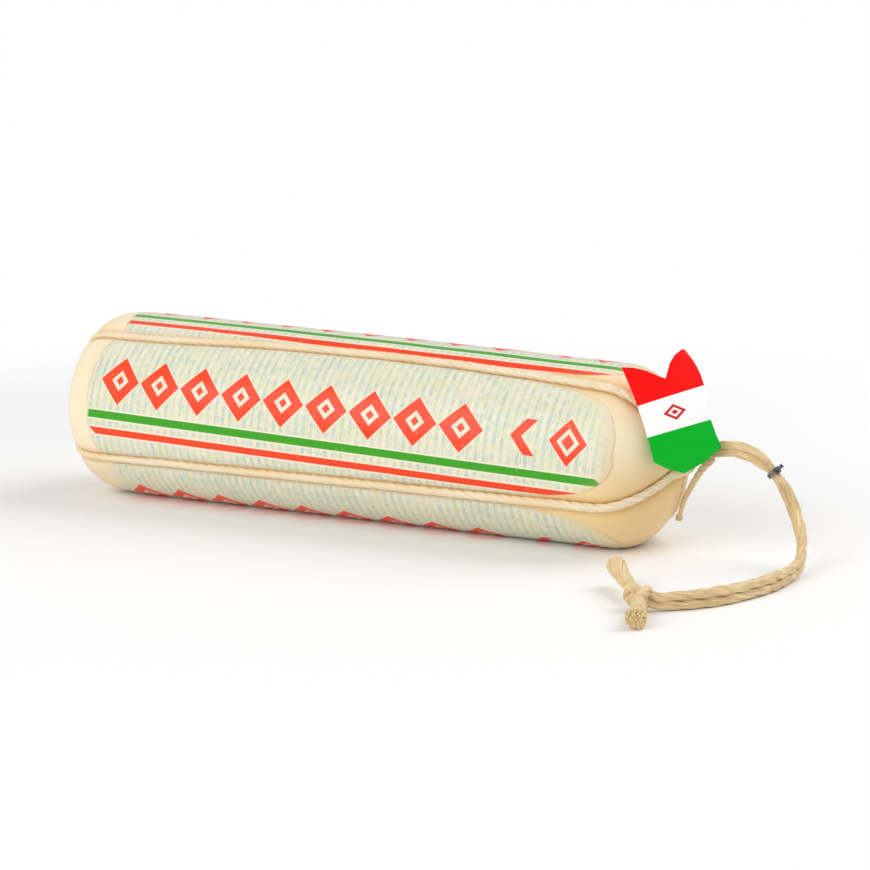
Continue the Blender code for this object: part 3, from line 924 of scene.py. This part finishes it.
def keep_value(wires, geometry, name, value):
    """Stores a value on the points, which the trees and the materials read by its name."""
    return wires.node("GeometryNodeStoreNamedAttribute", {"Geometry": geometry, "Name": name,
                                                          "Value": value},
                      data_type="FLOAT", domain="POINT").outputs[0]


def kept_value(wires, name):
    return wires.node("GeometryNodeInputNamedAttribute", {"Name": name},
                      data_type="FLOAT").outputs[0]


def tube_along(wires, curve, sides, radius):
    """Closed tube round a curve; its points keep how far round the tube they are."""
    ring = wires.node("GeometryNodeCurvePrimitiveCircle", {"Resolution": sides, "Radius": 1.0})
    spin = wires.node("GeometryNodeSplineParameter").outputs["Factor"]
    ring = keep_value(wires, ring.outputs["Curve"], "turn", spin)
    return wires.node("GeometryNodeCurveToMesh", {"Curve": curve, "Profile Curve": ring,
                                                  "Scale": radius, "Fill Caps": True}).outputs[0]


def twine_tree(name, finish):
    """Tree that lays twisted strands along a curve, in one twine or two side by side."""
    wires, given, output = open_tree(
        name,
        ("Strand Radius", "Strand Offset", "Turns", "Pair Offset", "Pair Turns", "Pair Start"),
        ("Strands", "Twines", "Count", "Sides"))
    line = wires.node("GeometryNodeResampleCurve", {"Curve": given[0], "Count": given["Count"]})
    along = wires.node("GeometryNodeSplineParameter")
    pinch = wires.node("GeometryNodeInputRadius").outputs[0]
    kept = keep_value(wires, line.outputs[0], "run", along.outputs["Length"])
    kept = keep_value(wires, kept, "pinch", pinch)
    amount = wires.times(given["Strands"], given["Twines"])
    copies = wires.node("GeometryNodeDuplicateElements", {"Geometry": kept, "Amount": amount},
                        domain="SPLINE")
    index = copies.outputs["Duplicate Index"]
    strand = wires.math("MODULO", index, given["Strands"])
    twine = wires.math("FLOOR", wires.over(index, given["Strands"]))
    kept = keep_value(wires, copies.outputs[0], "strand", index)
    squeeze = kept_value(wires, "pinch")
    factor = wires.times(along.outputs["Factor"], 2 * pi)
    pair_angle = wires.plus(wires.times(factor, given["Pair Turns"]),
                            wires.plus(given["Pair Start"],
                                       wires.times(twine, pi)))
    strand_angle = wires.plus(wires.times(factor, given["Turns"]),
                              wires.over(wires.times(strand, 2 * pi),
                                         given["Strands"]))
    strand_angle = wires.plus(strand_angle, wires.times(twine, 1.3))
    apart = wires.times(given["Pair Offset"], squeeze)
    offset = wires.vector("ADD", round_the_curve(wires, pair_angle, apart),
                          round_the_curve(wires, strand_angle,
                                          wires.times(given["Strand Offset"], squeeze)))
    moved = wires.node("GeometryNodeSetPosition", {"Geometry": kept, "Offset": offset})
    swell = wires.noise(wires.node("GeometryNodeInputPosition").outputs[0], 260.0, 2.0)
    thick = wires.times(given["Strand Radius"], wires.plus(0.86, wires.times(swell, 0.28)))
    thick = wires.times(thick, wires.math("POWER", squeeze, 0.6))
    tube = tube_along(wires, moved.outputs[0], given["Sides"], thick)
    return close_tree(wires, tube, finish, output)


def fibre_tree(name, finish):
    """Tree that scatters loose bent fibres over a rope and keeps the rope."""
    wires, given, output = open_tree(name, ("Density", "Fibre Length", "Fibre Radius"), ("Seed",))
    spots = wires.node("GeometryNodeDistributePointsOnFaces",
                       {"Mesh": given[0], "Density": given["Density"], "Seed": given["Seed"]})
    bend = wires.node("GeometryNodeCurvePrimitiveBezierSegment",
                      {"Resolution": 4, "Start": (0, 0, 0), "Start Handle": (0.3, 0, 0.1),
                       "End Handle": (0.6, 0.1, 0.35), "End": (1.0, 0.05, 0.3)})
    long = wires.node("GeometryNodeTransform", {"Geometry": bend.outputs[0]})
    wires.feed(long.inputs["Scale"], wires.node(
        "ShaderNodeCombineXYZ", {"X": given["Fibre Length"], "Y": given["Fibre Length"],
                                 "Z": given["Fibre Length"]}).outputs[0])
    ring = wires.node("GeometryNodeCurvePrimitiveCircle", {"Resolution": 3, "Radius": 1.0})
    thin = wires.node("GeometryNodeCurveToMesh",
                      {"Curve": long.outputs[0], "Profile Curve": ring.outputs["Curve"],
                       "Scale": given["Fibre Radius"], "Fill Caps": True})
    spin = wires.node("FunctionNodeRandomValue", data_type="FLOAT_VECTOR")
    wires.feed(spin.inputs[0], (-0.35, -0.35, -pi))
    wires.feed(spin.inputs[1], (0.35, 0.35, pi))
    tilt = wires.node("FunctionNodeRotateRotation", {"Rotation": spots.outputs["Rotation"]},
                      rotation_space="LOCAL")
    wires.feed(tilt.inputs["Rotate By"], spin.outputs[0])
    size = wires.node("FunctionNodeRandomValue", {"Seed": 7}, data_type="FLOAT")
    wires.feed(size.inputs[2], 0.35)
    wires.feed(size.inputs[3], 1.0)
    laid = wires.node("GeometryNodeInstanceOnPoints",
                      {"Points": spots.outputs["Points"], "Instance": thin.outputs[0],
                       "Rotation": tilt.outputs[0], "Scale": size.outputs[1]})
    both = wires.node("GeometryNodeJoinGeometry")
    wires.feed(both.inputs[0], laid.outputs[0])
    wires.feed(both.inputs[0], given[0])
    return close_tree(wires, both.outputs[0], finish, output)


def brush_tree(name, finish):
    """Tree that turns a curve into a frayed brush of fibres, as wide as the curve's radius."""
    wires, given, output = open_tree(name, ("Fibre Radius", "Waviness"), ("Fibres", "Seed"))
    line = wires.node("GeometryNodeResampleCurve", {"Curve": given[0], "Count": 15})
    along = wires.node("GeometryNodeSplineParameter")
    width = wires.node("GeometryNodeInputRadius").outputs[0]
    kept = keep_value(wires, line.outputs[0], "spread", width)
    kept = keep_value(wires, kept, "run", along.outputs["Length"])
    copies = wires.node("GeometryNodeDuplicateElements", {"Geometry": kept,
                                                          "Amount": given["Fibres"]},
                        domain="SPLINE")
    index = copies.outputs["Duplicate Index"]
    kept = keep_value(wires, copies.outputs[0], "strand", index)
    chance = []
    for offset, low, high in ((0, 0.0, 2 * pi), (1, 0.0, 1.0), (2, 0.94, 1.0)):
        made = wires.node("FunctionNodeRandomValue",
                          {"ID": index, "Seed": wires.plus(given["Seed"], offset)},
                          data_type="FLOAT")
        wires.feed(made.inputs[2], low)
        wires.feed(made.inputs[3], high)
        chance.append(made.outputs[1])
    angle, far, end = chance
    twist = wires.plus(angle, wires.times(along.outputs["Factor"], 2.6))
    spread = kept_value(wires, "spread")
    reach = wires.times(spread, wires.math("SQRT", far))
    place = wires.node("GeometryNodeInputPosition").outputs[0]
    shift = wires.node("ShaderNodeCombineXYZ", {"X": wires.times(index, 0.37)})
    wobble = wires.node("ShaderNodeTexNoise",
                        {"Vector": wires.vector("ADD", place, shift.outputs[0]), "Scale": 150.0,
                         "Detail": 1.0}).outputs["Color"]
    wobble = wires.vector("SUBTRACT", wobble, (0.5, 0.5, 0.5))
    wave = wires.times(given["Waviness"], along.outputs["Factor"])
    offset = wires.vector("ADD", round_the_curve(wires, twist, reach), wires.scaled(wobble, wave))
    moved = wires.node("GeometryNodeSetPosition", {"Geometry": kept, "Offset": offset})
    cut = wires.node("GeometryNodeTrimCurve", {"Curve": moved.outputs[0]}, mode="FACTOR")
    wires.feed(cut.inputs[3], end)
    tube = tube_along(wires, cut.outputs[0], 4, given["Fibre Radius"])
    return close_tree(wires, tube, finish, output)


def smooth_route(route, steps=12):
    """Close points on a smooth curve through the route's points, in metres."""
    knots = [Vector(point) * MM for point in route]
    ends = [2 * knots[0] - knots[1]] + knots + [2 * knots[-1] - knots[-2]]
    points = []
    for a, b, c, d in zip(ends, ends[1:], ends[2:], ends[3:]):
        for i in range(steps):
            t = i / steps
            bend, twist = 2 * a - 5 * b + 4 * c - d, 3 * b - a - 3 * c + d
            points.append(b + 0.5 * ((c - a) * t + bend * t ** 2 + twist * t ** 3))
    return points + [knots[-1]]


def route_length(points):
    return sum((b - a).length for a, b in zip(points, points[1:]))


def whole_turns(length, lay_length):
    return float(max(1, round(length / lay_length)))


BINDING_STRAND, BINDING_OFFSET = 1.25 * MM, 0.48 * MM


class CHEESE_OT_loops(Operator):
    """Builds the two loops of waxed binding twine"""
    bl_idname = "bound_cheese.loops"
    bl_label = "Binding twine"

    def execute(self, context):
        twine = settings(context.scene, "bound_cheese_twine")
        depth = settings(context.scene, "bound_cheese").unevenness
        tree = twine_tree("Waxed twine", waxed_twine_material(context.scene))
        outline = [(-LENGTH / 2, 0.0), *outline_stations(24, 60), (LENGTH / 2, 0.0)]
        loops = (("binding_inner", "twine_loop_inner", 0, 2, 0.0),
                 ("binding_outer", "twine_loop_outer", 1, 3, 2 * TWINE_RADIUS + GAP))
        for name, node, there, back, lift in loops:
            points, width = [], []
            for groove, run in ((there, outline[:-1]), (back, outline[:0:-1])):
                for x, radius in run:
                    over = lift * exp(-(radius / CROSSING_SPREAD) ** 4)
                    wander = 0.35 * noise.noise(Vector((x * 60.0, groove * 7.0, 0.0)))
                    angle = groove_angle(groove, x) + wander * min(1.0, radius / BUTT_RADIUS)
                    sunk = 0.5 - x / LENGTH     # the wax holds the twine deeper at the butt
                    out = TWINE_RADIUS * (0.8 - 0.3 * sunk) + over
                    points.append(skin_point(x, radius, angle, out, 0.0, depth))
                    width.append(1.0 - 0.22 * sunk)
            length = route_length(points)
            mesh = finish_with_tree(name, curve_of(name, points, width, cyclic=True), tree, {
                "Strand Radius": BINDING_STRAND, "Strand Offset": BINDING_OFFSET,
                "Turns": whole_turns(length, twine.lay_length), "Strands": twine.strands,
                "Twines": 1, "Count": 900, "Sides": 12})
            add_piece(name, mesh, None, "waxed_twine", node)
        return {"FINISHED"}


# ---- clip and tag ----

class CHEESE_OT_clip(Operator):
    """Builds the twisted wire clip on the rope"""
    bl_idname = "bound_cheese.clip"
    bl_label = "Wire clip"

    def execute(self, context):
        centre = Vector(ROPE_ROUTE[CLIP_PLACE]) * MM
        before = Vector(ROPE_ROUTE[CLIP_PLACE - 1]) * MM
        after = Vector(ROPE_ROUTE[CLIP_PLACE + 1]) * MM
        axis = (after - before).normalized()
        up = Vector((0.55, -0.35, 0.75))
        up = (up - axis * up.dot(axis)).normalized()
        side = axis.cross(up)
        turns, count, ends_count = 2.25, 90, 40
        ring, wire, pitch = 2.35 * MM, 0.36 * MM, 2.0 * MM
        points = []
        for i in range(count + 1):
            share = i / count
            angle = 2 * pi * turns * share - pi * 0.25
            along = (share - 0.5) * pitch
            points.append(centre + axis * along + (up * cos(angle) + side * sin(angle)) * ring)
        made = bmesh.new()
        tube_into(made, points, wire, 8)
        # The two ends are twisted together on the upper side
        for phase in (0.0, pi):
            twist = []
            for i in range(ends_count + 1):
                share = i / ends_count
                angle = 2 * pi * 1.6 * share + phase
                out = ring + (0.2 + 3.3 * share) * MM
                swing = (axis * cos(angle) + side * sin(angle)) * 0.42 * MM
                twist.append(centre + up * out + swing + side * (0.6 * MM * share))
            tube_into(made, twist, wire, 8)
        bmesh.ops.recalc_face_normals(made, faces=made.faces)
        mesh = bpy.data.meshes.new("clip_wire")
        made.to_mesh(mesh)
        made.free()
        mesh.shade_smooth()
        add_piece("clip_wire", mesh, wire_material(context.scene), "clip_wire", "wire_clip")
        return {"FINISHED"}


def tube_into(made, points, radius, sides):
    """Adds a closed tube along the points to a bmesh."""
    rings = []
    normal = None
    for i, point in enumerate(points):
        ahead = points[min(i + 1, len(points) - 1)] - points[max(i - 1, 0)]
        ahead.normalize()
        if normal is None:
            normal = ahead.orthogonal().normalized()
        normal = (normal - ahead * normal.dot(ahead)).normalized()
        side = ahead.cross(normal)
        thin = radius * (0.6 if i in (0, len(points) - 1) else 1.0)
        rings.append([made.verts.new(point + (normal * cos(a) + side * sin(a)) * thin)
                      for a in (2 * pi * k / sides for k in range(sides))])
    for ring, after in zip(rings, rings[1:]):
        for k in range(sides):
            made.faces.new((ring[k], ring[(k + 1) % sides], after[(k + 1) % sides], after[k]))
    made.faces.new(rings[0][::-1])
    made.faces.new(rings[-1])


# Outline of the card, across and up in millimetres, for shares across its width
CARD_TOP = ((0.0, -2.1, 36.2), (0.14, 1.9, 35.0), (0.28, 5.8, 32.9), (0.42, 9.6, 29.8),
            (0.5, 11.8, 28.3), (0.58, 13.2, 30.4), (0.68, 15.4, 33.8), (0.8, 18.4, 36.6),
            (0.92, 21.8, 38.2), (1.0, 22.9, 38.0))
CARD_BOTTOM = ((0.0, 0.0, 0.0), (0.2, 4.4, -3.2), (0.42, 10.5, -6.0), (0.62, 14.4, -4.9),
               (0.8, 18.6, -3.8), (0.92, 22.8, -1.6), (1.0, 26.0, 0.0))
# How far the right edge swings out from a straight line, for shares of its height
CARD_RIGHT = ((0.0, 0.0, 0.0), (0.12, -0.9, 0.0), (0.27, -1.2, 0.0), (0.42, -0.3, 0.0),
              (0.6, 0.9, 0.0), (0.72, 1.3, 0.0), (0.85, 1.1, 0.0), (1.0, 0.0, 0.0))


def read_outline(table, share):
    """Point of an outline at a share of the width."""
    for (low, u0, v0), (high, u1, v1) in zip(table, table[1:]):
        if share <= high:
            t = (share - low) / (high - low)
            return u0 + (u1 - u0) * t, v0 + (v1 - v0) * t
    return table[-1][1:]


class CHEESE_OT_tag(Operator):
    """Builds the bowed card tag"""
    bl_idname = "bound_cheese.tag"
    bl_label = "Card tag"

    def execute(self, context):
        columns, rows = 64, 64
        face = TAG_ACROSS.cross(TAG_UP).normalized()
        layers, uv = [[], []], []
        for i in range(rows + 1):
            for j in range(columns + 1):
                share, height = j / columns, i / rows
                u0, v0 = read_outline(CARD_BOTTOM, share)
                u1, v1 = read_outline(CARD_TOP, share)
                u = u0 + (u1 - u0) * height + read_outline(CARD_RIGHT, height)[0] * share ** 2
                v = v0 + (v1 - v0) * height
                bow = TAG_BULGE * (1.0 - (2.0 * v * MM / TAG_HEIGHT - 1.0) ** 2)
                curl = 0.7 * MM * (2 * share - 1) ** 2 * height
                place = TAG_CORNER + (TAG_ACROSS * u + TAG_UP * v) * MM + face * (bow - curl)
                for layer, level in zip(layers, (0.5, -0.5)):
                    layer.append(place + face * (TAG_THICKNESS * level))
                uv.append(((u + CARD_SHIFT[0]) / CARD_SPAN, (v + CARD_SHIFT[1]) / CARD_SPAN))
        faces, _ = closed_sheet(rows + 1, columns + 1)
        mesh = mesh_of("tag_card", layers[0] + layers[1], faces)
        lay_print(mesh, "Card", uv)
        outward(mesh)
        mesh.shade_smooth()
        mesh.set_sharp_from_angle(angle=radians(50.0))
        add_piece("tag_card", mesh, card_material(context.scene), "tag_card", "card_tag")
        return {"FINISHED"}


# ---- rope ----

KNOT_CENTRE = (147.2, -83.8, 4.9)
KNOT_SCALE, KNOT_HEIGHT = 1.28, 1.9
KNOT_TURN = (-28.0, 35.0)     # degrees about X, then about Z
# Piece, CAD node, middle, direction, radius, places along the direction, strand radius
HITCHES = (
    ("rope_hitch_twine", "rope_hitch", (138.6, 1.8, 37.4), (1.0, -0.2, 0.15), 2.3,
     (-0.7, 0.9), 0.62),
    ("leg_hitch_twine", "leg_hitch", (125.8, 10.2, 9.8), (0.4, -0.6, 0.9), 0.85,
     (-0.4, 0.45), 0.34),
)
ROPE_STRAND, ROPE_OFFSET, ROPE_PAIR = 1.2 * MM, 0.52 * MM, 1.45 * MM
LEG_STRAND, LEG_OFFSET, LEG_LAY = 0.78 * MM, 0.5 * MM, 9.0 * MM
KNOT_STRAND, KNOT_OFFSET, KNOT_LAY = 1.15 * MM, 0.66 * MM, 11.0 * MM
HITCH_LAY = 6.0 * MM


def knot_line(centre, scale, height, tilt, count=90):
    """Closed line of a simple overhand knot."""
    points = []
    for i in range(count):
        t = 2 * pi * i / count
        place = Vector(((sin(t) + 2 * sin(2 * t)) * scale, (cos(t) - 2 * cos(2 * t)) * scale,
                        -sin(3 * t) * height))
        points.append(Vector(centre) * MM + tilt @ (place * MM))
    return points


def wrap_line(centre, axis, radius, shifts, tilt, count=48):
    """Closed rings round an axis, one for each shift along it."""
    axis = Vector(axis).normalized()
    up = axis.orthogonal().normalized()
    side = axis.cross(up)
    for k, shift in enumerate(shifts):
        points = []
        for i in range(count):
            angle = 2 * pi * i / count
            lean = tilt * (1 if k % 2 else -1) * sin(angle)
            points.append(Vector(centre) * MM + axis * ((shift + lean) * MM)
                          + (up * cos(angle) + side * sin(angle)) * radius * MM)
        yield points


class CHEESE_OT_rope(Operator):
    """Builds the hanging rope with its leg, hitches, knot and frayed tails"""
    bl_idname = "bound_cheese.rope"
    bl_label = "Rope and knot"

    def execute(self, context):
        twine = settings(context.scene, "bound_cheese_twine")
        dry = dry_twine_material(context.scene, "Dry sisal", 0.5)
        frayed = dry_twine_material(context.scene, "Frayed sisal", 0.1)
        tree = twine_tree("Dry twine", dry)
        fibres = fibre_tree("Loose fibres", dry)
        brush = brush_tree("Frayed end", frayed)

        # A piece of twine, or two side by side, along a line
        def twisted(name, points, strand, offset, lay, pair=0.0, radii=None, cyclic=False,
                    spacing=0.55 * MM):
            length = route_length(points)
            turns = length / lay
            return finish_with_tree(name, curve_of(name, points, radii, cyclic), tree, {
                "Strand Radius": strand, "Strand Offset": offset,
                "Turns": float(round(turns)) if cyclic else turns,
                "Pair Offset": pair, "Pair Turns": 0.0, "Pair Start": pi / 2,
                "Strands": twine.strands, "Twines": 2 if pair else 1,
                "Count": max(24, int(length / spacing)), "Sides": 8})

        def on_floor(mesh):
            """Flattens what would sink below the resting surface."""
            for vert in mesh.vertices:
                vert.co.z = max(vert.co.z, 0.0)
            return mesh

        # The same piece with loose fibres standing off it
        def fuzzy(name, mesh, density, long, seed):
            return finish_with_tree(name, mesh, fibres, {
                "Density": density, "Fibre Length": long, "Fibre Radius": 0.05 * MM, "Seed": seed})

        # Doubled rope, pinched where the clip holds it
        route = smooth_route(ROPE_ROUTE + (KNOT_HEART,))
        clip = Vector(ROPE_ROUTE[CLIP_PLACE]) * MM
        pinch = []
        for i, point in enumerate(route):
            share = i / (len(route) - 1)
            near = exp(-((point - clip).length / (5.0 * MM)) ** 2)
            full = 0.9 + 0.16 * min(1.0, max(0.0, share - 0.3) * 3.0)
            full -= 2.0 * max(0.0, share - 0.88)
            pinch.append((full + 0.16 * noise.noise(point * 55.0)) * (1.0 - 0.4 * near))
        mesh = twisted("rope_twines", route, ROPE_STRAND, ROPE_OFFSET,
                       twine.lay_length * 1.7, pair=ROPE_PAIR, radii=pinch, spacing=0.7 * MM)
        area = sum(face.area for face in mesh.polygons)
        mesh = fuzzy("rope_twines", mesh, twine.fibres / area, 2.6 * MM, 11)
        rope = add_piece("rope_twines", on_floor(mesh), None, "sisal_rope", "rope_bundle")

        leg_route = smooth_route(LEG_ROUTE)
        leg_width = [0.5 + 0.75 * i / len(leg_route) for i in range(len(leg_route))]
        mesh = twisted("rope_leg_twine", leg_route, LEG_STRAND, LEG_OFFSET, LEG_LAY,
                       radii=leg_width)
        area = sum(face.area for face in mesh.polygons)
        mesh = fuzzy("rope_leg_twine", mesh, 50 / area, 2.0 * MM, 23)
        leg = add_piece("rope_leg_twine", mesh, None, "sisal_rope", "rope_leg")

        # Knot and hitches
        facing = (Matrix.Rotation(radians(KNOT_TURN[0]), 3, "X")
                  @ Matrix.Rotation(radians(KNOT_TURN[1]), 3, "Z"))
        points = knot_line(KNOT_CENTRE, KNOT_SCALE, KNOT_HEIGHT, facing)
        mesh = twisted("rope_knot_twine", points, KNOT_STRAND, KNOT_OFFSET, KNOT_LAY,
                       cyclic=True, spacing=0.35 * MM)
        mesh = fuzzy("rope_knot_twine", mesh, 2.2e5, 1.6 * MM, 31)
        knot = add_piece("rope_knot_twine", on_floor(mesh), None, "sisal_rope", "rope_knot")

        for name, node, centre, axis, radius, shifts, strand in HITCHES:
            parts = []
            for k, points in enumerate(wrap_line(centre, axis, radius, shifts, 0.35)):
                parts.append(twisted(f"{name}{k}", points, strand * MM, strand * 0.75 * MM,
                                     HITCH_LAY, cyclic=True, spacing=0.3 * MM))
            joined = bmesh.new()
            for part in parts:
                joined.from_mesh(part)
            made = parts[0].copy()
            joined.to_mesh(made)
            joined.free()
            made.name = name
            made.shade_smooth()
            add_piece(name, made, dry, "sisal_rope", node)

        # Frayed tails
        for k, (name, route_tail) in enumerate(TAILS.items()):
            points = smooth_route([point[:3] for point in route_tail], 5)
            radii = [point[3] * MM for point in route_tail]
            spread = []
            for i in range(len(points)):
                at = i / (len(points) - 1) * (len(radii) - 1)
                low = min(int(floor(at)), len(radii) - 2)
                spread.append((radii[low] + (radii[low + 1] - radii[low]) * (at - low)) * 0.95)
            curve = curve_of(name, points, spread)
            mesh = finish_with_tree(name + "_brush", curve, brush, {
                "Fibre Radius": 0.4 * MM, "Waviness": 2.0 * MM, "Fibres": 440, "Seed": 40 + k})
            add_piece(name + "_brush", on_floor(mesh), None, "sisal_rope", name)

        tuple(route[0])
        route_length(route)
        [tuple(point) for point in route[::2]]
        tuple(leg_route[-1])
        route_length(leg_route)
        [tuple(point) for point in reversed(leg_route)]
        return {"FINISHED"}


# ---- studio ----

FLOOR_HALF = 4.0
KEY_PLACE, FILL_PLACE = (0.85, 0.75, 1.2), (-0.35, -1.35, 0.85)
LAMP_AIM = (0.02, 0.0, 0.04)
CAMERA_PLACE = (0.3764, -0.6700, 0.1732)
CAMERA_TURN = (79.6, 0.0, 27.45)        # degrees
CAMERA_LENS = 81.72


class CHEESE_OT_studio(Operator):
    """Builds the floor, the lights and the camera"""
    bl_idname = "bound_cheese.studio"
    bl_label = "Studio"

    def execute(self, context):
        scene = context.scene
        studio = settings(scene, "bound_cheese_studio")
        half = FLOOR_HALF
        corners = [(-half, -half, 0.0), (half, -half, 0.0), (half, half, 0.0), (-half, half, 0.0)]
        mesh = mesh_of("studio_floor", corners, [(0, 1, 2, 3)], smooth=False)
        mesh.materials.append(floor_material(scene))
        floor_piece = bpy.data.objects.new("studio_floor", mesh)
        scene.collection.objects.link(floor_piece)

        for name, place, size, power in (
                ("key_light", KEY_PLACE, 1.4, studio.key_power),
                ("fill_light", FILL_PLACE, 1.3, studio.fill_power)):
            lamp = bpy.data.lights.new(name, "AREA")
            lamp.shape = "DISK"
            lamp.size = size
            lamp.energy = power
            lamp.color = (1.0, 1.0, 1.0)
            light = bpy.data.objects.new(name, lamp)
            light.location = place
            aim = Vector(LAMP_AIM) - Vector(place)
            light.rotation_euler = aim.to_track_quat("-Z", "Y").to_euler()
            scene.collection.objects.link(light)

        world = bpy.data.worlds.new("Studio white")
        world.use_nodes = True
        wires = Wiring(world.node_tree)
        paths = wires.node("ShaderNodeLightPath")
        seen = wires.most(paths.outputs["Is Camera Ray"], paths.outputs["Is Transmission Ray"])
        background = world.node_tree.nodes["Background"]
        background.inputs["Color"].default_value = (1.0, 1.0, 1.0, 1.0)
        wires.feed(background.inputs["Strength"], wires.mix(seen, studio.ambient, 1.0))
        scene.world = world

        camera = bpy.data.cameras.new("camera")
        camera.sensor_width = 36.0
        camera.lens = CAMERA_LENS
        camera.clip_start = 0.05
        holder = bpy.data.objects.new("camera", camera)
        holder.location = CAMERA_PLACE
        holder.rotation_euler = [radians(turn) for turn in CAMERA_TURN]
        scene.collection.objects.link(holder)
        scene.camera = holder
        scene.view_settings.view_transform = "Standard"
        return {"FINISHED"}


class CHEESE_PT_panel(Panel):
    """Lists the pieces and their settings"""
    bl_label = "Bound Cheese"
    bl_idname = "CHEESE_PT_panel"
    bl_space_type = "VIEW_3D"
    bl_region_type = "UI"
    bl_category = "Cheese"

    def draw(self, context):
        for name, group in SETTINGS:
            box = self.layout.box()
            for key in group.__annotations__:
                box.prop(settings(context.scene, name), key)
        for operator in OPERATORS:
            self.layout.operator(operator.bl_idname)


OPERATORS = (CHEESE_OT_studio, CHEESE_OT_body, CHEESE_OT_films, CHEESE_OT_loops,
             CHEESE_OT_clip, CHEESE_OT_tag, CHEESE_OT_rope)
CLASSES = (*(group for _, group in SETTINGS), *OPERATORS, CHEESE_PT_panel)


def register():
    for item in CLASSES:
        bpy.utils.register_class(item)
    for name, group in SETTINGS:
        setattr(bpy.types.Scene, name, PointerProperty(type=group))


def unregister():
    for name, _ in SETTINGS:
        delattr(bpy.types.Scene, name)
    for item in reversed(CLASSES):
        bpy.utils.unregister_class(item)


def main():
    register()
    for operator in OPERATORS:
        getattr(bpy.ops.bound_cheese, operator.bl_idname.split(".")[1])()


if __name__ == "__main__":
    main()
